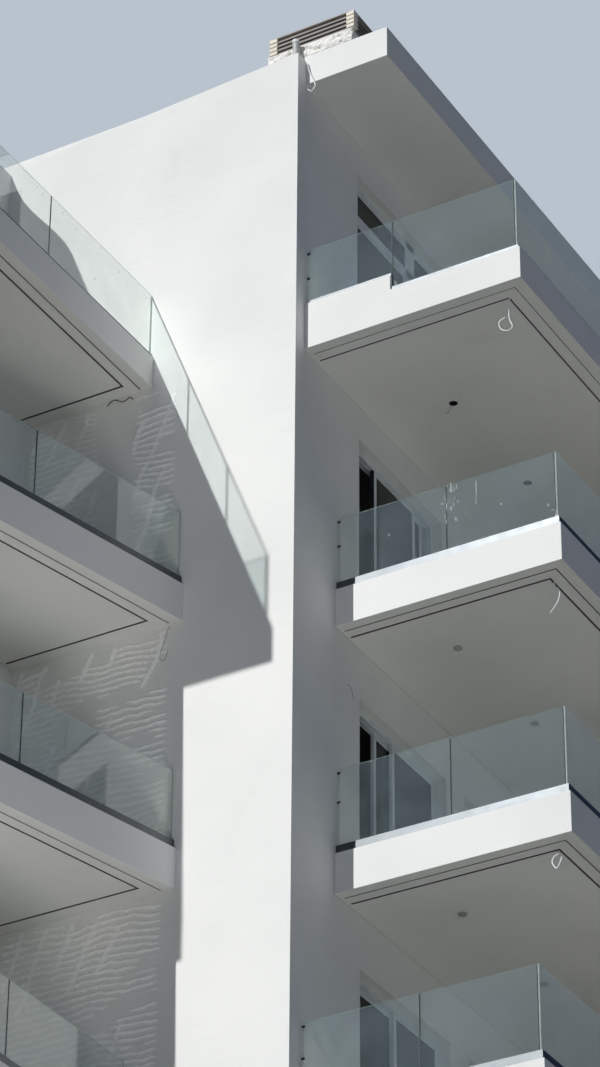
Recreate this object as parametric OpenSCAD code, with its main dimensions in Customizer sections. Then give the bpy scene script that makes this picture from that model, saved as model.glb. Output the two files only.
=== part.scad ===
// Apartment block of nine storeys on two wings that meet at a re-entrant corner.
// Concrete balconies are stacked on both facades and carry frameless glass balustrades.
// Millimetres, +Z up. The building grid has its zero at the foot of the sharp corner
// where the tall plain gable wall meets the right facade: X points out of both facades,
// Y runs from the near left wing towards the far end of the right wing.
// place() moves the grid so that the origin is the middle of the base.

/* [Storeys] */
// Height from the ground to the underside of the first balcony slab
ground_h = 4000; // [3600:50:4600]
// Height from one slab underside to the next
storey_h = 3100; // [2900:50:3400]
// Height from the top balcony slab's underside to the right roof slab's underside
top_h = 3630; // [3500:10:4000]
// How far the left roof lies below the right roof
left_roof_drop = 330; // [150:10:450]
// Thickness of a floor slab or balcony slab
slab_t = 200; // [160:10:260]
// Thickness of the ground slab
ground_slab_t = 150; // [100:10:250]
// Depth of a roof slab's edge
roof_t = 410; // [340:10:500]
// Thickness of a roof slab inside its rim
roof_slab_t = 250; // [200:10:300]
// Width of the rim round a roof
roof_rim_w = 200; // [150:10:300]

/* [Plan] */
// Depth of the building from the right facade to the back facade
depth = 11500; // [9500:100:13000]
// Length of the right wing from the gable wall's face to its far end
right_wing_l = 11250; // [10900:50:13000]
// Length of the left wing from the gable wall's face to its near end
left_wing_l = 6050; // [5600:50:8000]
// How far the left facade stands behind the right facade
left_set = 3400; // [3200:50:3600]
// How much further back the left facade's top storey stands
top_set = 420; // [300:10:500]
// Thickness of the outer walls
wall_t = 250; // [200:10:300]
// Thickness of the plain gable wall
gable_t = 180; // [150:10:240]
// Height of the gable wall's sharp corner above the right roof slab's underside
gable_rise = 330; // [200:10:400]
// Fall of the gable wall's top edge towards the left roof
gable_fall = 200; // [50:10:260]
// Projection of the right roof slab beyond the right facade
roof_out = 1025; // [600:25:1400]
// Projection of the left roof slab beyond the top storey, away from the gable wall
left_roof_out = 320; // [200:10:400]
// Length of the left roof's edge that stays flush with the top storey beside the gable wall
roof_flush_l = 450; // [300:10:800]
// Length over which that edge then swings out to its full projection
roof_swing_l = 1800; // [1200:50:2400]

/* [Balconies] */
// Depth of a right balcony that starts flush with the gable wall
flush_deep = 2573; // [2200:1:2700]
// Depth of a right balcony that starts away from the gable wall
stepped_deep = 2607; // [2200:1:2700]
// Distance of a stepped balcony from the gable wall's face
stepped_side = 854; // [700:1:1000]
// Depth of a straight left balcony
left_deep = 1625; // [1300:5:1900]
// Depth of a splayed left balcony at the gable wall
splay_deep = 2090; // [1800:10:2300]
// Depth of a splayed left balcony at the wing's near end
splay_end = 640; // [560:10:1000]
// Height of the edge kerb above the slab's underside
kerb_h = 450; // [380:10:520]
// Height of the top balconies' edge kerb
top_kerb_h = 400; // [350:10:450]
// Width of the edge kerb
kerb_w = 180; // [140:10:220]
// Height of the raised kerb beside the top balcony's wall
high_kerb_h = 590; // [530:10:640]
// Length of the raised kerb
high_kerb_l = 1040; // [800:10:1300]
// Width of the shadow groove in each soffit
groove_w = 18; // [10:1:30]
// Depth of the shadow groove
groove_d = 15; // [8:1:25]
// Distance of the shadow groove from a free edge
groove_in = 262; // [220:1:320]
// Distance of the shadow groove from a side wall
groove_wall_in = 178; // [120:1:220]
// Distance from the facade at which the grooves and drips end
groove_end = 40; // [20:5:100]
// Width of the drip slot along the free edges of each soffit
drip_w = 9; // [6:1:14]
// Depth of the drip slot
drip_d = 10; // [6:1:14]
// Distance of the drip slot from a free edge
drip_in = 130; // [100:1:160]

/* [Balustrades] */
// Height of the base channel that holds the glass
channel_h = 100; // [70:5:120]
// Height of the base channel on the top balconies' kerb
top_channel_h = 55; // [40:5:70]
// Height of the base channel on the raised kerb
high_channel_h = 50; // [40:5:70]
// Distance of that channel from the facade
high_channel_in = 50; // [20:5:100]
// Width of the base channel
channel_w = 60; // [45:1:80]
// Distance of the base channel from the kerb's outer face
channel_in = 28; // [10:1:50]
// Thickness of the laminated glass
glass_t = 17; // [12:1:21]
// Height of the glass above the base channel
glass_h = 800; // [700:10:950]
// Height of the taller glass on most of the right balconies
tall_glass_h = 880; // [800:10:1000]
// Longest pane of glass
pane_max = 2350; // [1900:10:2600]
// Gap between two panes
pane_gap = 12; // [6:1:20]
// Gap between a pane and the facade
wall_gap = 20; // [8:1:40]

/* [Doors and windows] */
// Distance from a doorway's head up to the slab above
lintel_h = 600; // [500:10:700]
// The same in the storey below the top one, whose doors are taller
high_lintel_h = 445; // [400:5:600]
// Distance from a top storey doorway's head up to the roof slab
top_lintel_h = 460; // [400:10:600]
// Distance from a ground doorway's head up to the slab above
ground_lintel_h = 1300; // [1000:10:1500]
// Width of a sliding doorway
door_w = 1885; // [1600:5:1950]
// Distance of the first doorway from the gable wall's face
door_first = 1370; // [1250:10:1500]
// Distance from one doorway to the next
door_pitch = 2310; // [2150:10:2380]
// Least width of the wall beyond the last doorway
end_pier = 200; // [150:10:400]
// Distance of the top storey's first doorway from the gable wall's face
top_door_first = 1345; // [1250:5:1500]
// Width of a doorway in the top storey, which holds a pair of doors
top_door_w = 2870; // [2400:10:2950]
// Width of the post between the two doors of a pair
top_post_w = 185; // [120:5:240]
// Height of the frame's head over them
top_head_w = 95; // [60:5:120]
// Height from the doorway's head to the bar under the light above each door
transom_h = 420; // [300:5:500]
// Height of that bar
transom_w = 80; // [62:1:120]
// Width of a back window
window_w = 1300; // [900:10:1600]
// Height of a back window
window_h = 1400; // [1000:10:1600]
// Height of a back window's sill above the floor
sill_h = 900; // [800:10:1100]
// Distance of a door or window frame from the facade's face
reveal = 110; // [60:5:130]
// Depth of a frame from front to back
frame_d = 104; // [80:2:110]
// Width of a frame's profile
frame_w = 45; // [35:1:70]
// Width of a sliding leaf's profile
leaf_w = 62; // [45:1:90]
// Thickness of a sliding leaf
leaf_t = 40; // [30:1:45]
// Thickness of the double glazing
pane_t = 24; // [18:1:28]
// How far the first door's near leaf stands open in storey 6
slid_6 = 560; // [400:10:600]
// How far the first door's near leaf stands open in storey 7
slid_7 = 760; // [600:10:780]
// How far its far leaf is drawn back over the doorway in storey 7
drawn_7 = 366; // [100:2:400]

/* [Roof fittings] */
// Width of the chimney along the facade's depth
chimney_w = 1086; // [800:1:1300]
// Length of the chimney along the roof edge
chimney_l = 900; // [700:10:1200]
// Distance of the chimney's near side beyond the right facade
chimney_out = 578; // [400:1:800]
// Height of the plastered chimney base
chimney_h = 180; // [120:10:300]
// Width of the flue
flue_w = 260; // [200:10:320]
// Height of the louvred cowl
cowl_h = 250; // [200:10:360]
// How far the cowl sits off the middle of its base, away from the roof
cowl_shift = 28; // [0:1:50]
// Width of the cowl's stepped corner blocks
cowl_corner = 96; // [70:1:140]
// Thickness of the cowl's lid
cowl_lid_t = 14; // [8:1:30]
// Thickness of a louvre blade
blade_t = 8; // [5:1:12]
// Outer radius of the vent pipe
pipe_r = 37.5; // [25:0.5:55]
// Height of the vent pipe above the gable wall
pipe_h = 280; // [180:10:400]
// Distance of the vent pipe behind the right facade
pipe_in = 85; // [60:5:200]
// Width of the cap's overhang round the vent pipe
pipe_cap = 7; // [3:0.5:15]
// Height of the vent pipe's cap
pipe_cap_h = 49; // [30:1:80]

/* [Soffit fittings] */
// Radius of a soffit light
light_r = 48; // [35:1:60]
// Height of a soffit light
light_h = 14; // [8:1:25]
// Width of a soffit light's rim
light_rim = 13; // [6:1:20]
// Depth of the recess that waits for a soffit light
light_recess = 70; // [40:5:120]
// Distance of the soffit lights from the facade
light_out = 905; // [700:5:1200]
// Distance of the soffit lights from the gable wall's face
light_along = 1840; // [1500:5:2200]
// Radius of a cable tail
cable_r = 6; // [4:0.5:8]

/* [Hidden] */

// Storeys above the ground storey, which is storey 0
storeys = 8;
// Back windows in each wing
right_windows = 3;
left_windows = 2;

roof_z = ground_h + storey_h * (storeys - 1) + top_h;
left_roof_z = roof_z - left_roof_drop;
top_floor_z = floor_z(storeys);
gable_top_z = roof_z + gable_rise;
frame_back = reveal + frame_d;

x_lo = -depth;
x_hi = max(flush_deep, stepped_deep, roof_out);
shift = [-(x_lo + x_hi) / 2, -(right_wing_l - left_wing_l) / 2, 0];

// Inner ends of the two wings
far_in = right_wing_l - wall_t;
near_in = -left_wing_l + wall_t;

// Doorways in each facade, as many as its wing has room for, and in the top storey one wide
// doorway over each two of them
function doors_on(l) = floor((l - end_pier - door_first - door_w) / door_pitch) + 1;
right_doors = doors_on(far_in);
left_doors = doors_on(-near_in);
right_top_doors = floor(right_doors / 2);
left_top_doors = floor(left_doors / 2);

// Routes of the cable tails, on the building grid, down from where each comes out
roof_cable = [[0, 150, 29640], [30, 150, 29600], [56, 150, 29475], [130, 150, 29270],
    [120, 150, 29215], [80, 150, 29185], [34, 150, 29230], [14, 150, 29295]];
cable_8 = [[2310, 445, 25700], [2306, 440, 25640], [2300, 440, 25440], [2330, 450, 25330],
    [2280, 450, 25290], [2200, 440, 25330], [2190, 430, 25420], [2260, 430, 25450]];
cable_7 = [[2344, 1200, 22600], [2360, 1190, 22540], [2420, 1150, 22460], [2436, 1120, 22360],
    [2410, 1100, 22260], [2340, 1100, 22180]];
cable_6 = [[2300, 1150, 19500], [2310, 1140, 19430], [2330, 1110, 19350], [2320, 1100, 19290],
    [2270, 1100, 19300], [2262, 1110, 19390], [2310, 1120, 19430]];

function slab_z(s) = ground_h + storey_h * (s - 1);
function floor_z(s) = s == 0 ? ground_slab_t : slab_z(s) + slab_t;

// Heights of the doorways' and windows' heads
function over_z(s) = s == 0 ? ground_lintel_h : s == storeys ? top_lintel_h
    : s == storeys - 1 ? high_lintel_h : lintel_h;
function right_head_z(s) = (s == storeys ? roof_z : slab_z(s + 1)) - over_z(s);
function left_head_z(s) = (s == storeys ? left_roof_z : slab_z(s + 1)) - over_z(s);
function back_sill_z(s) = floor_z(s) + sill_h;
function back_head_z(s) = back_sill_z(s) + window_h;

// The balconies follow one rhythm from the top: flush, stepped, stepped, flush
function is_flush(s) = let (k = (storeys - s) % 4) k == 0 || k == 3;
function right_side(s) = is_flush(s) ? gable_t : stepped_side;
function right_deep(s) = is_flush(s) ? flush_deep : stepped_deep;
function left_deep_wall(s) = is_flush(s) ? left_deep : splay_deep;
function left_deep_end(s) = is_flush(s) ? left_deep : splay_end;

// Kerbs, channels and glass are lower on the top balconies, and the glass on all but one of the
// right balconies is taller
function kerb_top(s) = slab_z(s) + (s == storeys ? top_kerb_h : kerb_h);
function channel_top(s) = kerb_top(s) + (s == storeys ? top_channel_h : channel_h);
function right_glass_top(s) = channel_top(s) + (s == storeys - 1 ? glass_h : tall_glass_h);

// Starts of the doorways along the right facade; the left ones mirror the first few
function right_door(i) = door_first + door_pitch * i;
function top_door(i) = top_door_first + 2 * door_pitch * i;

// Starts of the back windows, evenly spread over each wing
function right_window(i) = let (bay = (far_in - gable_t) / right_windows)
    gable_t + bay * (i + 0.5) - window_w / 2;
function left_window(i) = let (bay = (gable_t - near_in) / left_windows)
    near_in + bay * (i + 0.5) - window_w / 2;

// Stretches of wall left between openings that start at the places in starts
function stretches(lo, hi, starts, w) = let (n = len(starts))
    [for (i = [0:n]) [i == 0 ? lo : starts[i - 1] + w, i == n ? hi : starts[i]]];

right_starts = [for (i = [0:right_doors - 1]) right_door(i)];
top_starts = [for (i = [0:right_top_doors - 1]) top_door(i)];
left_starts = [for (i = [left_doors - 1:-1:0]) -right_door(i) - door_w];
left_top_starts = [for (i = [left_top_doors - 1:-1:0]) -top_door(i) - top_door_w];
back_right_starts = [for (i = [0:right_windows - 1]) right_window(i)];
back_left_starts = [for (i = [0:left_windows - 1]) left_window(i)];

function unit(v) = v / norm(v);

// Smooth path through chosen points, with n steps from each point to the next
function catmull(a, b, c, d, t) = 0.5 * (2 * b + (c - a) * t
    + (2 * a - 5 * b + 4 * c - d) * t * t + (3 * b - a - 3 * c + d) * t * t * t);
function smooth(pts, n) = let (m = len(pts) - 1)
    [for (i = [0:m - 1], j = [0:n - 1]) catmull(pts[max(i - 1, 0)], pts[i], pts[i + 1],
        pts[min(i + 2, m)], j / n), pts[m]];

module place() { translate(shift) children(); }

// Box between two opposite corners
module block(a, b) { translate(a) cube(b - a); }

// Plain wall stretches between the heights z0 and z1, with their outer face at x
module piers(x, z0, z1, list) {
    for (p = list) block([x - wall_t, p[0], z0], [x, p[1], z1]);
}

// Round tube of eight sides along a path
module tube(path, r, side) {
    sides = 8;
    n = len(path);
    points = [for (k = [0:n - 1]) let (
            t = unit(path[min(k + 1, n - 1)] - path[max(k - 1, 0)]),
            a = unit(cross(t, side)), b = cross(t, a))
        for (i = [0:sides - 1]) path[k] + r * (cos(360 * i / sides) * a + sin(360 * i / sides) * b)];
    walls = [for (k = [0:n - 2], i = [0:sides - 1]) let (j = (i + 1) % sides)
        [k * sides + i, k * sides + j, (k + 1) * sides + j, (k + 1) * sides + i]];
    polyhedron(points, concat([[for (i = [sides - 1:-1:0]) i]], walls,
        [[for (i = [0:sides - 1]) (n - 1) * sides + i]]));
}

// Plain wall between the two facades, with a top edge that falls towards the left roof
module gable_solid() {
    inner = -left_set - wall_t;
    top_inner = inner - top_set;
    translate([0, gable_t, 0]) rotate([90, 0, 0])
        linear_extrude(gable_t) polygon([[inner, 0], [0, 0], [0, gable_top_z],
            [top_inner, gable_top_z - gable_fall], [top_inner, top_floor_z], [inner, top_floor_z]]);
}

module gable_wall() { color("whitesmoke") place() gable_solid(); }

// End wall of the left wing, cut back in the top storey to the roof's edge
module near_end_wall() {
    color("whitesmoke") place() {
        block([-depth, -left_wing_l, 0], [-left_set, near_in, top_floor_z]);
        block([-depth, -left_wing_l, 0],
            [-left_set - top_set + left_roof_out, near_in, left_roof_z]);
    }
}

module far_end_wall() {
    color("whitesmoke") place() block([-depth, far_in, 0], [0, right_wing_l, roof_z]);
}

module right_facade_piers() {
    color("white") place()
        piers(0, 0, top_floor_z, stretches(gable_t, far_in, right_starts, door_w));
}

module left_facade_piers() {
    color("white") place()
        piers(-left_set, 0, top_floor_z, stretches(near_in, 0, left_starts, door_w));
}

// Wall over each doorway, up to the floor above, and a threshold on the ground
module spandrels(x, starts, w) {
    for (y = starts) {
        block([x - wall_t, y, 0], [x, y + w, ground_slab_t]);
        for (s = [0:storeys - 1])
            block([x - wall_t, y, right_head_z(s)], [x, y + w, floor_z(s + 1)]);
    }
}

module right_facade_spandrels() { color("white") place() spandrels(0, right_starts, door_w); }

module left_facade_spandrels() { color("white") place() spandrels(-left_set, left_starts, door_w); }

// Top storey wall: piers carrying one continuous lintel
module top_wall(x, lo, hi, starts, head_z, top_z) {
    piers(x, top_floor_z, head_z, stretches(lo, hi, starts, top_door_w));
    block([x - wall_t, lo, head_z], [x, hi, top_z]);
}

module right_top_wall() {
    color("white") place()
        top_wall(0, gable_t, far_in, top_starts, right_head_z(storeys), roof_z);
}

module left_top_wall() {
    color("white") place() top_wall(-left_set - top_set, near_in, 0, left_top_starts,
        left_head_z(storeys), left_roof_z);
}

module back_facade_piers() {
    color("white") place() {
        piers(-depth + wall_t, 0, back_head_z(storeys),
            stretches(gable_t, far_in, back_right_starts, window_w));
        piers(-depth + wall_t, 0, back_head_z(storeys),
            stretches(near_in, gable_t, back_left_starts, window_w));
    }
}

// Wall under and over the back windows, with a continuous lintel at the top
module back_spandrels(lo, hi, starts, top_z) {
    x = -depth + wall_t;
    for (y = starts) {
        block([x - wall_t, y, 0], [x, y + window_w, back_sill_z(0)]);
        for (s = [1:storeys])
            block([x - wall_t, y, back_head_z(s - 1)], [x, y + window_w, back_sill_z(s)]);
    }
    block([x - wall_t, lo, back_head_z(storeys)], [x, hi, top_z]);
}

module back_facade_spandrels() {
    color("white") place() {
        back_spandrels(gable_t, far_in, back_right_starts, roof_z);
        back_spandrels(near_in, gable_t, back_left_starts, left_roof_z);
    }
}

module floor_slabs_right() {
    color("gainsboro") place() for (s = [0:storeys])
        block([-depth + wall_t, gable_t, s == 0 ? 0 : slab_z(s)], [-wall_t, far_in, floor_z(s)]);
}

module floor_slabs_left() {
    color("gainsboro") place() for (s = [0:storeys])
        block([-depth + wall_t, near_in, s == 0 ? 0 : slab_z(s)],
            [-left_set - wall_t, gable_t, floor_z(s)]);
}

// Shallow tray with a rim along its free edges
module roof_slab_right() {
    color("whitesmoke") place() difference() {
        block([-depth, gable_t, roof_z], [roof_out, right_wing_l, roof_z + roof_t]);
        block([-depth + roof_rim_w, gable_t + roof_rim_w, roof_z + roof_slab_t],
            [roof_out - roof_rim_w, right_wing_l - roof_rim_w, roof_z + roof_t + 1]);
    }
}

// Outline of the left roof, moved in by d on its free sides
module left_roof_outline(d) {
    top_x = -left_set - top_set;
    wall_x = top_x - wall_t;
    y0 = -left_wing_l + d;
    steps = 6;
    swing = [for (i = [steps:-1:0]) let (u = i / steps)
        [top_x - d + left_roof_out * u * u * (3 - 2 * u), -roof_flush_l - roof_swing_l * u]];
    polygon(concat([[-depth + d, y0], [top_x - d + left_roof_out, y0]], swing,
        [[top_x - d, 0], [wall_x, 0], [wall_x, gable_t], [-depth + d, gable_t]]));
}

module roof_slab_left() {
    color("whitesmoke") place() difference() {
        translate([0, 0, left_roof_z]) linear_extrude(roof_t) left_roof_outline(0);
        translate([0, 0, left_roof_z + roof_slab_t]) linear_extrude(roof_t)
            left_roof_outline(roof_rim_w);
    }
}

// Places of the soffit lights along the right balconies
light_places = [light_along, right_wing_l / 2, right_wing_l - light_along];

// Outline of a right balcony, moved in by d on its free sides and by f at the facade
module right_outline(s, d, f) {
    y0 = right_side(s) + d;
    y1 = right_wing_l - right_side(s) - d;
    polygon([[f, y0], [right_deep(s) - d, y0], [right_deep(s) - d, y1], [f, y1]]);
}

// Outline of a left balcony, moved in by d at its front edge, e at its near end, w at the gable
// wall and f at the facade
module left_outline(s, d, e, w, f) {
    slope = (left_deep_wall(s) - left_deep_end(s)) / left_wing_l;
    front = -left_set + left_deep_wall(s) - d * sqrt(1 + slope * slope);
    y0 = -left_wing_l + e;
    polygon([[-left_set + f, -w], [front - slope * w, -w], [front + slope * y0, y0],
        [-left_set + f, y0]]);
}

// Slot of width w and depth h in a soffit, parallel to the free sides, open at the facade
module right_slot(s, d, w, h) {
    translate([0, 0, slab_z(s) - 1]) linear_extrude(h + 1) difference() {
        right_outline(s, d, groove_end);
        right_outline(s, d + w, -1);
    }
}

// Groove round a left soffit, parallel to its free sides and the gable wall
module left_groove(s) {
    in = groove_in + groove_w;
    translate([0, 0, slab_z(s) - 1]) linear_extrude(groove_d + 1) difference() {
        left_outline(s, groove_in, groove_in, groove_wall_in, groove_end);
        left_outline(s, in, in, groove_wall_in + groove_w, -1);
    }
}

// Drip slot along a left soffit's free sides, stopped short of both walls
module left_drip(s) {
    in = drip_in + drip_w;
    translate([0, 0, slab_z(s) - 1]) linear_extrude(drip_d + 1) difference() {
        left_outline(s, drip_in, drip_in, groove_end, groove_end);
        left_outline(s, in, in, -1, -1);
    }
}

// Tray with a kerb on its three free sides and a shadow groove in its soffit
module balcony_right(s) {
    color("whitesmoke") place() difference() {
        union() {
            translate([0, 0, slab_z(s)]) linear_extrude(kerb_top(s) - slab_z(s))
                right_outline(s, 0, 0);
            if (s == storeys) for (y = [right_side(s), right_wing_l - right_side(s) - kerb_w])
                block([0, y, slab_z(s)], [high_kerb_l, y + kerb_w, slab_z(s) + high_kerb_h]);
        }
        translate([0, 0, floor_z(s)]) linear_extrude(high_kerb_h) right_outline(s, kerb_w, 0);
        right_slot(s, groove_in, groove_w, groove_d);
        right_slot(s, drip_in, drip_w, drip_d);
        if (s == storeys) for (y = light_places)
            translate([light_out, y, slab_z(s) - 1]) cylinder(h = light_recess + 1, r = light_r);
    }
}

// Tray that ends at the gable wall, with a kerb on its front and near end
module balcony_left(s) {
    color("whitesmoke") place() difference() {
        translate([0, 0, slab_z(s)]) linear_extrude(kerb_top(s) - slab_z(s))
            left_outline(s, 0, 0, 0, 0);
        translate([0, 0, floor_z(s)]) linear_extrude(kerb_h) left_outline(s, kerb_w, kerb_w, 0, 0);
        left_groove(s);
        left_drip(s);
    }
}

channel_back = channel_in + channel_w;
glass_in = channel_in + (channel_w - glass_t) / 2;
glass_back_in = glass_in + glass_t;

module right_channel(s) {
    step = s == storeys ? high_kerb_l : 0;
    translate([0, 0, kerb_top(s)]) linear_extrude(channel_top(s) - kerb_top(s)) difference() {
        right_outline(s, channel_in, step);
        right_outline(s, channel_back, step);
    }
}

// Base channels on the raised kerbs at both ends of the top balcony
module high_channels() {
    z = slab_z(storeys) + high_kerb_h;
    for (y = [right_side(storeys) + channel_in, right_wing_l - right_side(storeys) - channel_back])
        block([high_channel_in, y, z], [high_kerb_l, y + channel_w, z + high_channel_h]);
}

module channels_right() {
    color("silver") place() {
        for (s = [1:storeys]) right_channel(s);
        high_channels();
    }
}

module channels_left() {
    color("silver") place() for (s = [1:storeys])
        translate([0, 0, kerb_top(s)]) linear_extrude(channel_top(s) - kerb_top(s)) difference() {
            left_outline(s, channel_in, channel_in, 0, 0);
            left_outline(s, channel_back, channel_back, -1, -1);
        }
}

// Panes from lo to hi, as many as the longest pane asks for
function panes(lo, hi) = let (n = ceil((hi - lo) / pane_max), w = (hi - lo) / n)
    [for (i = [0:n - 1]) [lo + w * i + (i == 0 ? 0 : pane_gap / 2),
        lo + w * (i + 1) - (i == n - 1 ? 0 : pane_gap / 2)]];

// Front panes run through to the outer faces of the side panes, which stop a joint short of them
module balustrade_glass_right() {
    color("lightcyan", 0.4) place() for (s = [1:storeys]) {
        z0 = channel_top(s);
        z1 = right_glass_top(s);
        x1 = right_deep(s) - glass_in;
        y0 = right_side(s) + glass_in;
        y1 = right_wing_l - y0;
        for (p = panes(y0, y1)) block([x1 - glass_t, p[0], z0], [x1, p[1], z1]);
        mid = s == storeys ? high_kerb_l : x1 / 2;
        for (y = [y0, y1 - glass_t]) {
            block([wall_gap, y, s == storeys ? slab_z(s) + high_kerb_h + high_channel_h : z0],
                [mid, y + glass_t, z1]);
            block([mid + pane_gap, y, z0], [x1 - glass_t - pane_gap, y + glass_t, z1]);
        }
    }
}

// Front pane of a left balcony between the places y0 and y1
module left_pane(s, y0, y1) {
    intersection() {
        difference() {
            left_outline(s, glass_in, glass_in, 0, 0);
            left_outline(s, glass_back_in, -1, -1, -1);
        }
        translate([-left_set, y0]) square([splay_deep, y1 - y0]);
    }
}

// Pane along a left balcony's near end, from the facade to the front pane
module left_end_pane(s) {
    difference() {
        left_outline(s, glass_back_in + pane_gap, glass_in, 0, wall_gap);
        left_outline(s, 0, glass_back_in, -1, -1);
    }
}

module balustrade_glass_left() {
    color("lightcyan", 0.4) place() for (s = [1:storeys])
        translate([0, 0, channel_top(s)]) linear_extrude(glass_h) {
            for (p = panes(-left_wing_l + glass_in, -wall_gap)) left_pane(s, p[0], p[1]);
            left_end_pane(s);
        }
}

// Rectangular ring in the plane of a facade, d deep, with its outer face at x = 0
module ring(w, h, rim, d) {
    translate([-d, 0, 0]) difference() {
        cube([d, w, h]);
        translate([-1, rim, rim]) cube([d + 2, w - 2 * rim, h - 2 * rim]);
    }
}

leaf_out = reveal + (frame_d / 2 - leaf_t) / 2;
leaf_in = leaf_out + frame_d / 2;
glass_back = (leaf_t - pane_t) / 2;

// Width of one of two sliding leaves that meet stile over stile
function leaf_l(w) = (w - 2 * frame_w + leaf_w) / 2;

// Sliding door in its reveal: the near leaf runs behind the far one
module sliding_frame(w, h, near_slid, far_drawn) {
    l = leaf_l(w);
    translate([-reveal, 0, 0]) ring(w, h, frame_w, frame_d);
    translate([-leaf_in, frame_w + near_slid, frame_w]) ring(l, h - 2 * frame_w, leaf_w, leaf_t);
    translate([-leaf_out, w - frame_w - l - far_drawn, frame_w])
        ring(l, h - 2 * frame_w, leaf_w, leaf_t);
}

module leaf_glass(l, h) {
    translate([-glass_back - pane_t, leaf_w, leaf_w]) cube([pane_t, l - 2 * leaf_w, h - 2 * leaf_w]);
}

module sliding_glass(w, h, near_slid, far_drawn) {
    l = leaf_l(w);
    translate([-leaf_in, frame_w + near_slid, frame_w]) leaf_glass(l, h - 2 * frame_w);
    translate([-leaf_out, w - frame_w - l - far_drawn, frame_w]) leaf_glass(l, h - 2 * frame_w);
}

// Places of the two lights of a pair of top doors, and the width of each
function top_lights(w) = [frame_w, (w + top_post_w) / 2];
function top_light_w(w) = (w - top_post_w) / 2 - frame_w;

// Frame of a pair of top doors: one leaf on each side of the post, under a fixed light
module transom_frame(w, h) {
    bar_z = h - transom_h;
    translate([-reveal, 0, 0]) {
        ring(w, h, frame_w, frame_d);
        translate([-frame_d, 0, h - top_head_w]) cube([frame_d, w, top_head_w]);
        translate([-frame_d, 0, bar_z - transom_w]) cube([frame_d, w, transom_w]);
        translate([-frame_d, (w - top_post_w) / 2, 0]) cube([frame_d, top_post_w, h]);
    }
    for (y = top_lights(w)) translate([-leaf_out, y, frame_w])
        ring(top_light_w(w), bar_z - transom_w - frame_w, leaf_w, leaf_t);
}

module transom_glass(w, h) {
    bar_z = h - transom_h;
    for (y = top_lights(w)) {
        translate([-leaf_out, y, frame_w]) leaf_glass(top_light_w(w), bar_z - transom_w - frame_w);
        translate([-leaf_out - glass_back - pane_t, y, bar_z])
            cube([pane_t, top_light_w(w), transom_h - top_head_w]);
    }
}

function near_slid(s, i) = i > 0 ? 0 : s == 6 ? slid_6 : s == 7 ? slid_7 : 0;
function far_drawn(s, i) = i > 0 || s != 7 ? 0 : drawn_7;

module door_frames_right() {
    color("lightgray") place() {
        for (s = [0:storeys - 1], i = [0:right_doors - 1])
            translate([0, right_starts[i], floor_z(s)]) sliding_frame(door_w,
                right_head_z(s) - floor_z(s), near_slid(s, i), far_drawn(s, i));
        for (y = top_starts) translate([0, y, top_floor_z])
            transom_frame(top_door_w, right_head_z(storeys) - top_floor_z);
    }
}

module door_glass_right() {
    color("slategray", 0.5) place() {
        for (s = [0:storeys - 1], i = [0:right_doors - 1])
            translate([0, right_starts[i], floor_z(s)]) sliding_glass(door_w,
                right_head_z(s) - floor_z(s), near_slid(s, i), far_drawn(s, i));
        for (y = top_starts) translate([0, y, top_floor_z])
            transom_glass(top_door_w, right_head_z(storeys) - top_floor_z);
    }
}

module door_frames_left() {
    color("lightgray") place() {
        for (s = [0:storeys - 1], y = left_starts) translate([-left_set, y, floor_z(s)])
            sliding_frame(door_w, left_head_z(s) - floor_z(s), 0, 0);
        for (y = left_top_starts) translate([-left_set - top_set, y, top_floor_z])
            transom_frame(top_door_w, left_head_z(storeys) - top_floor_z);
    }
}

module door_glass_left() {
    color("slategray", 0.5) place() {
        for (s = [0:storeys - 1], y = left_starts) translate([-left_set, y, floor_z(s)])
            sliding_glass(door_w, left_head_z(s) - floor_z(s), 0, 0);
        for (y = left_top_starts) translate([-left_set - top_set, y, top_floor_z])
            transom_glass(top_door_w, left_head_z(storeys) - top_floor_z);
    }
}

// Back window with a middle mullion, facing away from the balconies
module back_window_frame() {
    translate([reveal + frame_d, 0, 0]) {
        ring(window_w, window_h, frame_w, frame_d);
        translate([-frame_d, (window_w - leaf_w) / 2, frame_w])
            cube([frame_d, leaf_w, window_h - 2 * frame_w]);
    }
}

module back_window_glass() {
    pane_l = (window_w - leaf_w) / 2 - frame_w;
    for (y = [frame_w, (window_w + leaf_w) / 2])
        translate([reveal + (frame_d - pane_t) / 2, y, frame_w])
            cube([pane_t, pane_l, window_h - 2 * frame_w]);
}

module at_back_windows() {
    for (s = [0:storeys], y = concat(back_right_starts, back_left_starts))
        translate([-depth, y, back_sill_z(s)]) children();
}

module window_frames_back() { color("lightgray") place() at_back_windows() back_window_frame(); }

module window_glass_back() {
    color("slategray", 0.5) place() at_back_windows() back_window_glass();
}

roof_top_z = roof_z + roof_t;
roof_rim_h = roof_t - roof_slab_t;
flue_in = (chimney_l - 2 * flue_w) / 3;
flue_floor = chimney_h / 3;

module on_chimney() {
    translate([chimney_out - chimney_w, gable_t, roof_top_z]) children();
}

// Plastered base with two flues, which stands on the roof's rim and slab
module chimney() {
    color("whitesmoke") place() on_chimney() difference() {
        union() {
            cube([chimney_w, chimney_l, chimney_h]);
            translate([0, roof_rim_w, -roof_rim_h])
                cube([chimney_w, chimney_l - roof_rim_w, roof_rim_h + chimney_h]);
        }
        for (i = [0, 1])
            translate([(chimney_w - flue_w) / 2, flue_in + i * (flue_w + flue_in), flue_floor])
                cube([flue_w, flue_w, chimney_h]);
    }
}

cowl_levels = 4;
level_h = (cowl_h - cowl_lid_t) / cowl_levels;
block_h = level_h * 2 / 3;
// How far the posts and the blades' lower edges stand behind the corner blocks
post_in = cowl_corner / 5;
blade_in = cowl_corner / 8;
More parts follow.
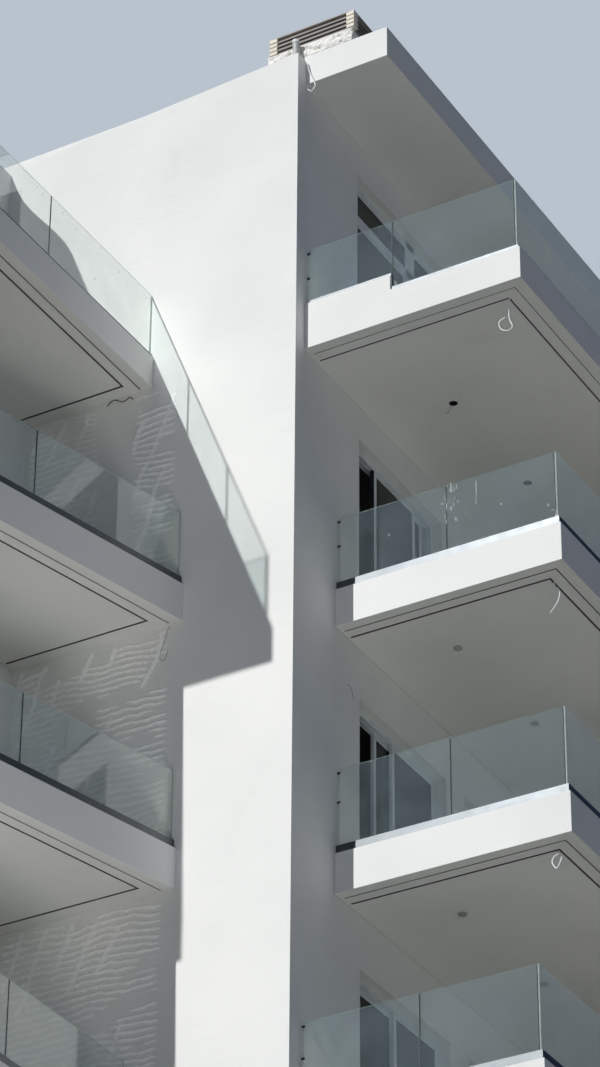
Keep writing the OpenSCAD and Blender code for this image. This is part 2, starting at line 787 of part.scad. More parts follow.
// How far a blade leans in from its lower to its upper edge
blade_lean = cowl_corner / 4;

// Open cowl: corner posts with stepped blocks, louvre blades between them and a flat lid
module chimney_cowl() {
    color("darkgray") place() on_chimney() translate([cowl_shift, 0, chimney_h]) {
        for (x = [0, chimney_w - cowl_corner], y = [0, chimney_l - cowl_corner]) {
            translate([x + post_in, y + post_in, 0])
                cube([cowl_corner - 2 * post_in, cowl_corner - 2 * post_in, cowl_h - cowl_lid_t]);
            for (i = [0:cowl_levels - 1])
                translate([x, y, level_h * (i + 1) - block_h]) cube([cowl_corner, cowl_corner, block_h]);
        }
        for (i = [0:cowl_levels - 1]) translate([chimney_w / 2, chimney_l / 2, level_h * i]) blade();
        translate([0, 0, cowl_h - cowl_lid_t]) cube([chimney_w, chimney_l, cowl_lid_t]);
    }
}

// Four louvre blades of one level, mitred at the corners and leaning inwards to the top
module blade() {
    difference() {
        blade_taper(blade_in, 0, level_h);
        blade_taper(blade_in + blade_t, -1, level_h + 1);
    }
}

// Solid between the heights z0 and z1 that tapers with the blades, in from the chimney's sides
module blade_taper(in, z0, z1) {
    corners = [[-1, -1], [1, -1], [1, 1], [-1, 1]];
    points = [for (z = [z0, z1], c = corners) let (d = in + blade_lean * z / level_h)
        [c[0] * (chimney_w / 2 - d), c[1] * (chimney_l / 2 - d), z]];
    polyhedron(points, concat([[0, 1, 2, 3], [7, 6, 5, 4]],
        [for (i = [0:3]) let (j = (i + 1) % 4) [i, i + 4, j + 4, j]]));
}

// Vent pipe with a cap, seated on the gable wall's sloping top
module vent_pipe() {
    cap_z = gable_top_z + pipe_h - pipe_cap_h;
    seat_z = gable_top_z - gable_fall * (pipe_in + pipe_r) / (left_set + wall_t + top_set);
    color("gainsboro") place() difference() {
        translate([-pipe_in, gable_t / 2, 0]) {
            translate([0, 0, seat_z]) cylinder(h = cap_z - seat_z, r = pipe_r);
            translate([0, 0, cap_z]) cylinder(h = pipe_cap_h, r = pipe_r + pipe_cap);
        }
        gable_solid();
    }
}

module soffit_lights() {
    color("lightgray") place() for (s = [1:storeys - 1], y = light_places)
        translate([light_out, y, slab_z(s) - light_h]) difference() {
            cylinder(h = light_h, r = light_r);
            translate([0, 0, -1]) cylinder(h = light_h / 2 + 1, r = light_r - light_rim);
        }
}

module cable_tail_roof() { color("white") place() tube(smooth(roof_cable, 3), cable_r, [0, 1, 0]); }

module cable_tail_8() { color("white") place() tube(smooth(cable_8, 3), cable_r, [0, 1, 0]); }

module cable_tail_7() { color("white") place() tube(smooth(cable_7, 3), cable_r, [0, 1, 0]); }

module cable_tail_6() { color("white") place() tube(smooth(cable_6, 3), cable_r, [0, 1, 0]); }

gable_wall();
near_end_wall();
far_end_wall();
right_facade_piers();
right_facade_spandrels();
right_top_wall();
left_facade_piers();
left_facade_spandrels();
left_top_wall();
back_facade_piers();
back_facade_spandrels();
floor_slabs_right();
floor_slabs_left();
roof_slab_right();
roof_slab_left();
for (s = [1:storeys]) balcony_right(s);
for (s = [1:storeys]) balcony_left(s);
channels_right();
channels_left();
balustrade_glass_right();
balustrade_glass_left();
door_frames_right();
door_glass_right();
door_frames_left();
door_glass_left();
window_frames_back();
window_glass_back();
chimney();
chimney_cowl();
vent_pipe();
soffit_lights();
cable_tail_roof();
cable_tail_8();
cable_tail_7();
cable_tail_6();
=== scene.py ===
"""Looks of an apartment block of nine storeys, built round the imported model."""
import logging
import math
import random
from dataclasses import dataclass, field, replace
from enum import Enum
from typing import Callable, Iterable, Iterator, Sequence

import bmesh
import bpy
from mathutils import Matrix, Vector, noise


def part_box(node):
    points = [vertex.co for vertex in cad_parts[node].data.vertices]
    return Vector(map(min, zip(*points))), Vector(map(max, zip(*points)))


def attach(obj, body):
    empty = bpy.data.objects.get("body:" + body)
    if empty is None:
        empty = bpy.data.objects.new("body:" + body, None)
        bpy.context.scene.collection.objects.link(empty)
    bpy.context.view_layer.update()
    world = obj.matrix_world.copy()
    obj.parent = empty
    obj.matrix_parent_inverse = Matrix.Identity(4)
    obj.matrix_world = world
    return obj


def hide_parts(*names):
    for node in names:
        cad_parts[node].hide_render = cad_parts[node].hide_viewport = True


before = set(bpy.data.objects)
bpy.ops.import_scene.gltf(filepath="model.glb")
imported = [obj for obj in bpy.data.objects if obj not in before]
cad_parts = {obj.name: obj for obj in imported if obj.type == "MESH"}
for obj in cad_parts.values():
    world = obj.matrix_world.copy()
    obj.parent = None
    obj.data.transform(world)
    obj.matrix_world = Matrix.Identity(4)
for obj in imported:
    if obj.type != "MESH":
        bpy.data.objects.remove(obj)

log = logging.getLogger("apartment_block")
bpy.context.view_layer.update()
BODY = "root"
Point = tuple[float, float, float]
Pair = tuple[float, float]
UP = Vector((0, 0, 1))
OUT = Vector((1, 0, 0))
# Distance within which a place counts as met
NEAR = 0.001
# How far a foot or a cutting tool goes past the face that it meets
PAST = 0.01
# Between which most values of Blender's noise lie
NOISE = (0.3, 0.7)


class Wing(Enum):
    """The wing that a piece belongs to."""

    RIGHT = "right"
    LEFT = "left"


# Sizes shared by the pieces


@dataclass(frozen=True)
class Plan:
    """Sizes of the building in metres, on the building grid.

    The grid has its zero at the foot of the sharp corner where the plain gable wall meets the
    right facade, with X out of both facades and Y towards the far end of the right wing.
    """

    storeys: int = 8
    ground_h: float = 4.0
    storey_h: float = 3.1
    top_h: float = 3.63
    left_roof_drop: float = 0.33
    slab_t: float = 0.2
    ground_floor: float = 0.15
    roof_t: float = 0.41
    roof_slab_t: float = 0.25
    roof_rim_w: float = 0.2
    depth: float = 11.5
    right_wing_l: float = 11.25
    left_wing_l: float = 6.05
    left_set: float = 3.4
    top_set: float = 0.42
    wall_t: float = 0.25
    gable_t: float = 0.18
    roof_out: float = 1.025
    kerb_h: float = 0.45
    top_kerb_h: float = 0.4
    kerb_w: float = 0.18
    high_kerb_h: float = 0.59
    high_kerb_l: float = 1.04
    flush_deep: float = 2.573
    stepped_deep: float = 2.607
    stepped_side: float = 0.854
    left_deep: float = 1.625
    splay_deep: float = 2.09
    splay_end: float = 0.64
    zero: Vector = field(
        default_factory=lambda: Vector((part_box("gable_wall")[1].x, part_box("gable_wall")[0].y, 0))
    )

    def at(self, x: float, y: float, z: float) -> Vector:
        """Turns a place on the building grid into one in the row frame."""
        return self.zero + Vector((x, y, z))

    def slab(self, storey: int) -> float:
        """Height of the underside of a storey's floor slab."""
        return self.ground_h + self.storey_h * (storey - 1)

    def floor(self, storey: int) -> float:
        """Height of a storey's floor, where storey 0 is on the ground."""
        return self.slab(storey) + self.slab_t if storey else self.ground_floor

    @property
    def roof(self) -> float:
        """Height of the right roof slab's underside."""
        return self.slab(self.storeys) + self.top_h

    @property
    def left_roof(self) -> float:
        """Height of the left roof slab's underside."""
        return self.roof - self.left_roof_drop

    def balconies(self) -> Iterator[tuple[Wing, int]]:
        """Wing and storey of each balcony, from the lowest up in each wing."""
        return ((wing, storey) for wing in Wing for storey in range(1, self.storeys + 1))

    def flush(self, storey: int) -> bool:
        """Tells whether a storey's balconies are straight ones that start at the gable wall."""
        return (self.storeys - storey) % 4 in (0, 3)

    def side(self, storey: int) -> float:
        """Distance of a right balcony from the gable wall's face."""
        return self.gable_t if self.flush(storey) else self.stepped_side

    def reach(self, storey: int) -> float:
        """Depth of a right balcony."""
        return self.flush_deep if self.flush(storey) else self.stepped_deep

    def kerb_top(self, storey: int) -> float:
        """Height of the top of a balcony's kerb."""
        return self.slab(storey) + (self.top_kerb_h if storey == self.storeys else self.kerb_h)

    def edge(self, wing: Wing, storey: int, inset: float, start: float = 0.0) -> list[Vector]:
        """Line parallel to the free edges of a balcony, with the balcony on its left.

        Args:
            wing: the balcony's wing.
            storey: the balcony's storey.
            inset: how far the line lies inside the free edges.
            start: how far from the facade it starts and ends.

        Returns:
            Its points at height 0, from the near end at the facade.
        """
        if wing is Wing.RIGHT:
            near, far = self.side(storey) + inset, self.right_wing_l - self.side(storey) - inset
            out = self.reach(storey) - inset
            return [Vector((start, near, 0)), Vector((out, near, 0)),
                    Vector((out, far, 0)), Vector((start, far, 0))]
        wide = self.left_deep if self.flush(storey) else self.splay_deep
        narrow = self.left_deep if self.flush(storey) else self.splay_end
        slope = (wide - narrow) / self.left_wing_l
        near = inset - self.left_wing_l
        out = wide - self.left_set - inset * math.hypot(1, slope)
        return [Vector((start - self.left_set, near, 0)), Vector((out + slope * near, near, 0)),
                Vector((out, 0, 0))]


PLAN = Plan()

# Materials


def linear(code: str, alpha: float = 1.0) -> tuple[float, float, float, float]:
    """Turns an sRGB hex colour into the linear values that Blender's sockets take.

    Args:
        code: six hex digits, such as "E8E9E4".
        alpha: the fourth value.

    Returns:
        Linear red, green and blue, and alpha.
    """
    values = [int(code[i : i + 2], 16) / 255 for i in (0, 2, 4)]
    return (*(v / 12.92 if v <= 0.04045 else ((v + 0.055) / 1.055) ** 2.4 for v in values), alpha)


def add(tree: bpy.types.NodeTree, kind: str, sockets: dict | None = None,
        **settings) -> bpy.types.Node:
    """Adds a node with its settings, values and links.

    Args:
        tree: the node tree.
        kind: the node's type name, without the words that all of them start with.
        sockets: input name or number to a value or to the output socket that feeds it.
        **settings: the node's own settings.

    Returns:
        The new node.
    """
    made = tree.nodes.new(f"ShaderNode{kind}")
    for name, value in settings.items():
        setattr(made, name, value)
    for key, value in (sockets or {}).items():
        if isinstance(value, bpy.types.NodeSocket):
            tree.links.new(value, made.inputs[key])
        else:
            made.inputs[key].default_value = value
    return made


def emptied(owner: bpy.types.Material | bpy.types.World) -> bpy.types.NodeTree:
    """Turns on a material's or a world's nodes and gives its tree, emptied.

    Args:
        owner: the material or the world.

    Returns:
        Its node tree.
    """
    owner.use_nodes = True
    owner.node_tree.nodes.clear()
    return owner.node_tree


def link(name: str, data: bpy.types.ID) -> bpy.types.Object:
    """Adds an object with its data to the scene.

    Args:
        name: the object's name.
        data: its mesh, curve, lamp or camera.

    Returns:
        The object.
    """
    made = bpy.data.objects.new(name, data)
    bpy.context.scene.collection.objects.link(made)
    return made


@dataclass(frozen=True)
class Finish:
    """A surface: its name, its slot in the record, its colour and how it shines.

    The plain one is a coat with a slight cloud in its colour and a fine grain.
    """

    name: str
    slot: str
    colour: str
    roughness: float = 0.6
    metallic: float = 0.0
    shade: str = ""
    cloud_mm: float = 350.0
    cloud_range: Pair = (0.35, 0.7)
    grain_mm: float = 4.0
    grain_depth: float = 0.00005
    swing: float = 0.12

    def built(self) -> bpy.types.Material:
        """The material, made the first time that it is asked for.

        Returns:
            The material.
        """
        material = bpy.data.materials.get(self.name)
        if not material:
            material = bpy.data.materials.new(self.name)
            material.diffuse_color = linear(self.colour)
            tree = emptied(material)
            out = add(tree, "OutputMaterial")
            tree.links.new(self.surface(tree), out.inputs["Surface"])
        return material

    def object_noise(self, tree: bpy.types.NodeTree, wave_mm: float, detail: float = 3.0,
                     stretch: Point = (1.0, 1.0, 1.0),
                     turn: Point = (0.0, 0.0, 0.0)) -> bpy.types.NodeSocket:
        """Adds noise on object coordinates.

        Args:
            tree: the node tree.
            wave_mm: length of one wave in millimetres.
            detail: how many finer layers it has.
            stretch: scale along each axis, under 1 to draw the pattern out.
            turn: how the pattern is turned, in radians.

        Returns:
            The noise's value.
        """
        place = add(tree, "Mapping", {
            "Vector": add(tree, "TexCoord").outputs["Object"],
            "Scale": stretch, "Rotation": turn})
        return add(tree, "TexNoise", {
            "Vector": place.outputs[0], "Scale": 1000.0 / wave_mm, "Detail": detail}).outputs["Fac"]

    def ramp(self, tree: bpy.types.NodeTree, value: bpy.types.NodeSocket, low: float, high: float,
             start: float = 0.0, end: float = 1.0) -> bpy.types.NodeSocket:
        """Maps a value from between low and high to between start and end."""
        return add(tree, "MapRange", {
            "Value": value, "From Min": low, "From Max": high, "To Min": start, "To Max": end}
        ).outputs["Result"]

    def blend(self, tree: bpy.types.NodeTree, factor: bpy.types.NodeSocket, first: object,
              second: object) -> bpy.types.NodeSocket:
        """Mixes two colours, each a value or a socket, by a factor."""
        return add(tree, "Mix", {0: factor, 6: first, 7: second}, data_type="RGBA").outputs[2]

    def bump(self, tree: bpy.types.NodeTree,
             layers: Sequence[tuple[bpy.types.NodeSocket, float]]) -> bpy.types.NodeSocket:
        """Stacks bumps, each a height and its depth in metres, and gives their normal.

        Args:
            tree: the node tree.
            layers: each layer's height socket and its depth in metres.

        Returns:
            The normal.
        """
        normal = None
        for height, depth in layers:
            sockets = {"Height": height, "Strength": 1.0, "Distance": depth}
            if normal:
                sockets["Normal"] = normal
            normal = add(tree, "Bump", sockets).outputs[0]
        return normal

    def surface(self, tree: bpy.types.NodeTree) -> bpy.types.NodeSocket:
        """Adds the nodes of the finish and gives their shader.

        Args:
            tree: the node tree.

        Returns:
            The shader's socket.
        """
        plain, less = linear(self.colour), 1 - self.swing
        shade = linear(self.shade) if self.shade else (*(c * less for c in plain[:3]), 1.0)
        cloud = self.ramp(tree, self.object_noise(tree, self.cloud_mm), *self.cloud_range)
        worn = self.object_noise(tree, self.cloud_mm / 3)
        grain = self.object_noise(tree, self.grain_mm, 1.0)
        return add(tree, "BsdfPrincipled", {
            "Base Color": self.blend(tree, cloud, plain, shade), "Metallic": self.metallic,
            "Roughness": self.ramp(tree, worn, *NOISE, self.roughness * less,
                                   min(1.0, self.roughness * (1 + self.swing))),
            "Normal": self.bump(tree, [(grain, self.grain_depth)])}).outputs[0]


@dataclass(frozen=True)
class PaintedRender(Finish):
    """Smooth cement render, trowelled by hand and painted: matt, with faint patches and strokes."""

    shade: str = "DADBD8"
    patch_mm: float = 1400.0
    patch_range: Pair = (0.42, 0.72)
    patch_share: float = 0.45
    stroke_mm: float = 160.0
    stroke_range: Pair = (0.56, 0.8)
    stroke_share: float = 0.12
    stroke_stretch: Point = (0.35, 0.35, 1.6)
    stroke_turn: Point = (0.5, 0.4, 0.3)
    wave_mm: float = 240.0
    grit_mm: float = 9.0
    wave_depth: float = 0.0011
    grit_depth: float = 0.0002
    dirt: str = "8F8F8B"
    dirt_mm: float = 700.0
    dirt_range: Pair = (0.66, 0.8)
    dirt_stretch: Point = (1.0, 1.0, 0.45)
    dirt_share: float = 0.12

    def surface(self, tree: bpy.types.NodeTree) -> bpy.types.NodeSocket:
        """Adds the nodes of the finish and gives their shader.

        Args:
            tree: the node tree.

        Returns:
            The shader's socket.
        """
        patch = self.object_noise(tree, self.patch_mm, 4.0)
        stroke = self.object_noise(tree, self.stroke_mm, 2.0, self.stroke_stretch, self.stroke_turn)
        both = add(tree, "Math", {
            0: self.ramp(tree, patch, *self.patch_range, 0.0, self.patch_share),
            1: self.ramp(tree, stroke, *self.stroke_range, 0.0, self.stroke_share)
        }, operation="ADD").outputs[0]
        coat = self.blend(tree, both, linear(self.colour), linear(self.shade))
        stain = self.object_noise(tree, self.dirt_mm, 6.0, self.dirt_stretch)
        stained = self.ramp(tree, stain, *self.dirt_range, 0.0, self.dirt_share)
        colour = self.blend(tree, stained, coat, linear(self.dirt))
        wave = self.object_noise(tree, self.wave_mm, 2.0)
        grit = self.object_noise(tree, self.grit_mm, 2.0)
        return add(tree, "BsdfPrincipled", {
            "Base Color": colour, "Roughness": self.roughness,
            "Normal": self.bump(tree, [(wave, self.wave_depth), (grit, self.grit_depth)])
        }).outputs[0]


@dataclass(frozen=True)
class GroundEdge(Finish):
    """Frosted edge of glass, which lets the light that falls on it through into the pane."""

    cloud_mm: float = 60.0
    through: float = 0.5

    def surface(self, tree: bpy.types.NodeTree) -> bpy.types.NodeSocket:
        """Adds the nodes of the finish and gives their shader.

        Args:
            tree: the node tree.

        Returns:
            The shader's socket.
        """
        cloud = self.ramp(tree, self.object_noise(tree, self.cloud_mm), *NOISE)
        colour = self.blend(tree, cloud, linear(self.colour), linear(self.shade))
        face = add(tree, "BsdfPrincipled", {"Base Color": colour, "Roughness": self.roughness})
        glow = add(tree, "BsdfTranslucent", {"Color": colour})
        return add(tree, "MixShader", {
            0: self.through, 1: face.outputs[0], 2: glow.outputs[0]}).outputs[0]


@dataclass(frozen=True)
class SeeThrough(Finish):
    """Flat glass that lets lamps through, with a thin film of dust that catches the light, tinted
    blue as a painted reflection of the sky.
    """

    dust_and_reflection: str = "9FB3BF"
    film_roughness: float = 0.9
    film: float = 0.05
    film_swing: float = 0.4
    wipe_mm: float = 420.0
    passed: str = "F2F6F5"
    ior: float = 1.5

    def surface(self, tree: bpy.types.NodeTree) -> bpy.types.NodeSocket:
        """Adds the nodes of the finish and gives their shader.

        Args:
            tree: the node tree.

        Returns:
            The shader's socket.
        """
        glass = add(tree, "BsdfPrincipled", {
            "Base Color": linear(self.colour), "Roughness": self.roughness, "IOR": self.ior,
            "Transmission Weight": 1.0})
        clear = add(tree, "BsdfTransparent", {"Color": linear(self.passed)})
        lamp = add(tree, "LightPath").outputs["Is Shadow Ray"]
        pane = add(tree, "MixShader", {0: lamp, 1: glass.outputs[0], 2: clear.outputs[0]})
        wipe = self.object_noise(tree, self.wipe_mm, 4.0)
        # The film's blue tint is partly a painted reflection of the sky
        dust_and_reflection_film = add(tree, "BsdfPrincipled", {
            "Base Color": linear(self.dust_and_reflection), "Roughness": self.film_roughness})
        return add(tree, "MixShader", {
            0: self.ramp(tree, wipe, *NOISE, self.film * (1 - self.film_swing),
                         self.film * (1 + self.film_swing)),
            1: pane.outputs[0], 2: dust_and_reflection_film.outputs[0]}).outputs[0]


# Cement render under matt white paint: bright, with soft hand-trowelled waves
WHITE_RENDER = PaintedRender("painted_render", "white_render", "EAEAE6", 0.75)
# Render inside the grooves of the soffits, darkened as painted shade for the shade deep in the
# grooves
SLOT_PAINTED_SHADE = Finish("slot_render_painted_shade", "white_render", "585852", 0.95)
# The same painted shade, lighter, in the shallower drip slots
DRIP_SLOT_PAINTED_SHADE = Finish("drip_slot_render_painted_shade", "white_render", "83837B", 0.95)
# Concrete cast against boards: flat grey with darker clouds
CONCRETE = PaintedRender("cast_concrete", "concrete", "A8A6A0", 0.8, shade="8F8D88")
# Plaster thrown on and left unsmoothed: lumpy, slightly warmer than the paint
ROUGH_PLASTER = PaintedRender("thrown_plaster", "rough_plaster", "F3F2EC", 0.9, shade="DBD9D0",
                              patch_mm=90.0, wave_mm=45.0, wave_depth=0.003)
# Trowelled cement plaster without its last coat, whiter than the wall as painted highlight where the
# ridges catch the light
BARE_PLASTER_PAINTED_HIGHLIGHT = PaintedRender("trowelled_plaster_painted_highlight", "rough_plaster", "FBFBF8", 0.85, shade="EDEDEA",
                             patch_mm=200.0, wave_mm=60.0, wave_depth=0.001, dirt_share=0.0)
# Toughened and laminated glass with a faint mint tint in its thickness
CLEAR_GLASS = SeeThrough("laminated_glass", "clear_glass", "F5FAF7", 0.01)
# Ground edge of such glass: frosted, paler than the pane and bright where the sun meets it
GROUND_EDGE = GroundEdge("ground_glass_edge", "clear_glass", "C4D4CE", 0.4, shade="A3BBB3")
# Double glazing with a clear reflection, tinted near black as painted shade for the dark rooms
# behind it
DOOR_GLASS_PAINTED_SHADE = SeeThrough("double_glazing_painted_shade", "door_glass", "2A3337", 0.02, dust_and_reflection="4A5458", film=0.02,
                        passed="626E70")
# Extruded aluminium, etched and anodised: dark, satin, with a broad highlight
ALUMINIUM = Finish("satin_anodised_aluminium", "satin_aluminium", "65696B", 0.38, 1.0)
# Synthetic rubber strip: black and matt
RUBBER = Finish("black_rubber", "satin_aluminium", "17181A", 0.7)
# Aluminium section with a baked powder coat: smooth, low gloss
FRAME_PAINT = Finish("powder_coat", "frame_grey", "DCE1E3", 0.35)
# Sheet steel painted matt grey, weathered
COWL_STEEL = Finish("matt_painted_steel", "cowl_grey", "9A948E", 0.55)
# Cast cement corner blocks, paler than the blades between them; the pale colour is partly painted
# highlight for the sun on their faces
COWL_BLOCK_PAINTED_HIGHLIGHT = Finish("cast_cement_block_painted_highlight", "cowl_grey", "EFE8D8", 0.8)
# Extruded PVC pipe, and its moulded cap
PIPE_PLASTIC = Finish("grey_pvc", "pipe_plastic", "C2C2BE", 0.45)
CAP_PLASTIC = Finish("white_pvc", "pipe_plastic", "EDEDE9", 0.4)
# Moulded polycarbonate with a satin bloom
LIGHT_PLASTIC = Finish("moulded_polycarbonate", "light_fitting", "B4B4B0", 0.4)
# Soft PVC sheath of an installation cable, and a black one
SHEATH = Finish("soft_white_pvc", "cable_sheath", "F2F2EE", 0.45)
BLACK_SHEATH = Finish("soft_black_pvc", "cable_sheath", "1E1F20", 0.5)
# Cement water and silicone that dried in specks on the glass
SPECK = Finish("dried_cement_specks", "clear_glass", "F4F5F2", 0.8)
# Pressed stoneware tiles: pale, dense, faintly speckled
STONEWARE = Finish("pressed_stoneware", "concrete", "BDBAB3", 0.55, grain_mm=9.0)
# Bitumen sheet faced with grey slate chips
ROOF_SHEET = Finish("slated_bitumen", "concrete", "7E8082", 0.95, grain_mm=7.0, grain_depth=0.0006)


# Shaping tools


class Form:
    """A mesh that is shaped with Blender's own operators, in metres on the building grid."""

    SPARE = 0.06
    FACING = 0.9
    SQUARE = 0.99
    MERGE = 1e-5
    SIDES = 40
    SHARP = math.radians(35)
    GENTLE = math.radians(40)

    def __init__(self, made: bpy.types.Object) -> None:
        """Takes over an object whose place is already in its mesh."""
        self.made = made

    @staticmethod
    def leave_edit() -> None:
        """Goes back to object mode."""
        if bpy.context.mode != "OBJECT":
            bpy.ops.object.mode_set(mode="OBJECT")

    @classmethod
    def alone(cls, *objects: bpy.types.Object) -> None:
        """Leaves edit mode and selects only these objects, the first one active.

        Args:
            *objects: the objects; with none, nothing stays selected.
        """
        cls.leave_edit()
        for other in bpy.context.selected_objects:
            other.select_set(False)
        for made in objects:
            made.select_set(True)
        if objects:
            bpy.context.view_layer.objects.active = objects[0]

    @classmethod
    def taken(cls) -> "Form":
        """Takes the primitive that was just added and puts its place into its mesh.

        Returns:
            The form.
        """
        made = bpy.context.active_object
        cls.alone(made)
        bpy.ops.object.transform_apply(location=True, rotation=True, scale=True)
        return cls(made)

    @classmethod
    def block(cls, low: Sequence[float], high: Sequence[float]) -> "Form":
        """Starts from a box between two opposite corners.

        Args:
            low: one corner.
            high: the opposite corner.

        Returns:
            The form.
        """
        cls.alone()
        low, high = Vector(low), Vector(high)
        bpy.ops.mesh.primitive_cube_add(size=1, location=(low + high) / 2, scale=high - low)
        return cls.taken()

    @classmethod
    def disc(cls, foot: Sequence[float], radius: float, height: float) -> "Form":
        """Starts from an upright round block that stands on the middle of its foot.

        Args:
            foot: middle of its foot.
            radius: its radius.
            height: its height.

        Returns:
            The form.
        """
        cls.alone()
        bpy.ops.mesh.primitive_cylinder_add(vertices=cls.SIDES, radius=radius, depth=height,
                                            location=Vector(foot) + UP * height / 2)
        return cls.taken()

    @classmethod
    def lump(cls, middle: Sequence[float], size: Sequence[float]) -> "Form":
        """Starts from a ball drawn out to a size along each axis.

        Args:
            middle: its middle.
            size: its length along each axis.

        Returns:
            The form.
        """
        cls.alone()
        bpy.ops.mesh.primitive_uv_sphere_add(segments=10, ring_count=6, radius=0.5,
                                             location=middle, scale=size)
        return cls.taken()

    @classmethod
    def of_node(cls, *nodes: str) -> "Form":
        """Starts from a merged copy of CAD nodes' meshes.

        Args:
            *nodes: names of the nodes.

        Returns:
            The form, on the building grid.
        """
        forms = []
        for node in nodes:
            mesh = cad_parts[node].data.copy()
            mesh.materials.clear()
            mesh.transform(Matrix.Translation(-PLAN.zero))
            forms.append(cls(link(f"{node}_copy", mesh)))
        whole = cls.join(forms)
        whole.pick("VERT")
        bpy.ops.mesh.remove_doubles(threshold=cls.MERGE)
        cls.alone(whole.made)
        return whole

    @classmethod
    def join(cls, forms: Iterable["Form"]) -> "Form":
        """Makes one mesh of several.

        Args:
            forms: the forms; the first one takes in the others.

        Returns:
            The joined form.
        """
        forms = list(forms)
        cls.alone(*(form.made for form in forms))
        if len(forms) > 1:
            bpy.ops.object.join()
        return cls(bpy.context.active_object)

    @classmethod
    def bar(cls, line: Sequence[Vector], i: int, width: float, low: float, high: float,
            slot: Pair | None = None) -> "Form":
        """Makes a straight bar along one stretch of a line, mitred where the line turns.

        Args:
            line: points at height 0; the bar lies on their left.
            i: number of the stretch.
            width: width of the bar.
            low: height of its underside.
            high: height of its top.
            slot: thickness of the walls and of the base, for a bar with a slot along its top.

        Returns:
            The bar.
        """
        start, end = line[i], line[i + 1]
        form = cls.block((-cls.SPARE, 0, low), ((end - start).length + cls.SPARE, width, high))
        if slot:
            form.pick_facing(UP)
            bpy.ops.mesh.inset(thickness=slot[0])
            form.extrude((0, 0, low + slot[1] - high))
        form.lay(start, end)
        for place, normal in ((start, -cls.mitre(line, i)), (end, cls.mitre(line, i + 1))):
            form.pick("FACE")
            bpy.ops.mesh.bisect(plane_co=place, plane_no=normal, use_fill=True, clear_outer=True)
        return form

    @staticmethod
    def mitre(line: Sequence[Vector], i: int) -> Vector:
        """Direction square to the joint at a point of a line, or to the wall at its ends.

        Args:
            line: points at height 0.
            i: number of the point.

        Returns:
            The direction.
        """
        ways = [(line[j + 1] - line[j]).normalized() for j in (i - 1, i) if 0 <= j < len(line) - 1]
        if len(ways) == 2:
            return (ways[0] + ways[1]).normalized()
        return Vector((round(ways[0].x), round(ways[0].y), 0))

    def pick(self, kind: str,
             test: Callable[[Vector, Vector], bool] = lambda middle, normal: True) -> None:
        """Selects, in edit mode, the elements that pass a test.

        Args:
            kind: "FACE", "EDGE" or "VERT".
            test: takes an element's middle and, for faces and vertices, its normal.
        """
        if bpy.context.mode != "EDIT_MESH":
            self.alone(self.made)
            bpy.ops.object.mode_set(mode="EDIT")
        bpy.ops.mesh.select_mode(type=kind)
        bpy.ops.mesh.select_all(action="DESELECT")
        mesh = bmesh.from_edit_mesh(self.made.data)
        for part in {"VERT": mesh.verts, "EDGE": mesh.edges, "FACE": mesh.faces}[kind]:
            if kind == "VERT":
                passed = test(part.co, part.normal)
            elif kind == "FACE":
                passed = test(part.calc_center_median(), part.normal)
            else:
                passed = test((part.verts[0].co + part.verts[1].co) / 2, UP)
            if passed:
                part.select_set(True)
        mesh.select_flush_mode()
        bmesh.update_edit_mesh(self.made.data)

    def pick_facing(self, *ways: Vector) -> None:
        """Selects, in edit mode, the faces that look one of these ways."""
        self.pick("FACE", lambda middle, normal: any(
            normal.dot(way) > self.FACING for way in ways))

    @staticmethod
    def extrude(way: Sequence[float]) -> None:
        """Extrudes what is selected and moves it along."""
        bpy.ops.mesh.extrude_region_move(TRANSFORM_OT_translate={"value": way})

    def shift(self, matrix: Matrix) -> "Form":
        """Moves the mesh.

        Args:
            matrix: the move.

        Returns:
            The form.
        """
        self.leave_edit()
        self.made.data.transform(matrix)
        return self

    def move(self, x: float, y: float, z: float) -> "Form":
        """Moves the mesh along the grid."""
        return self.shift(Matrix.Translation((x, y, z)))

    def lay(self, start: Vector, end: Vector) -> "Form":
        """Turns a form that runs along X so that it runs from one point towards another."""
        way = (end - start).normalized()
        return self.shift(Matrix.Translation(start)
                          @ Matrix((way, UP.cross(way), UP)).transposed().to_4x4())

    def copy(self, x: float = 0.0, y: float = 0.0, z: float = 0.0) -> "Form":
        """Makes a moved copy with its own mesh."""
        self.leave_edit()
        return Form(link(self.made.name, self.made.data.copy())).move(x, y, z)

    def drop(self) -> None:
        """Removes a form that was only a pattern for copies."""
        self.alone()
        bpy.data.objects.remove(self.made)

    def spread(self, places: Iterable[Sequence[float]]) -> "Form":
        """Puts a copy at each place, removes the pattern and joins the copies.

        Args:
            places: how far each copy is moved along the grid.

        Returns:
            The joined copies.
        """
        copies = [self.copy(*place) for place in places]
        self.drop()
        return Form.join(copies)

    def modify(self, kind: str, **settings) -> "Form":
        """Applies a modifier of a kind with its settings.

        Args:
            kind: the modifier's type name.
            **settings: the modifier's own settings.

        Returns:
            The form.
        """
        self.alone(self.made)
        modifier = self.made.modifiers.new(kind.lower(), kind)
        for name, value in settings.items():
            setattr(modifier, name, value)
        bpy.ops.object.modifier_apply(modifier=modifier.name)
        return self

    def soften(self, width: float, segments: int = 2) -> "Form":
        """Rounds the sharp edges."""
        return self.modify("BEVEL", width=width, segments=segments, limit_method="ANGLE",
                           angle_limit=self.SHARP)

    def cut(self, tool: "Form") -> None:
        """Takes another form out of this one and removes it."""
        self.modify("BOOLEAN", object=tool.made, operation="DIFFERENCE", solver="EXACT")
        tool.drop()

    def smooth(self) -> "Form":
        """Shades gentle angles smooth.

        Returns:
            The form.
        """
        self.alone(self.made)
        bpy.ops.object.shade_smooth_by_angle(angle=self.GENTLE)
        return self

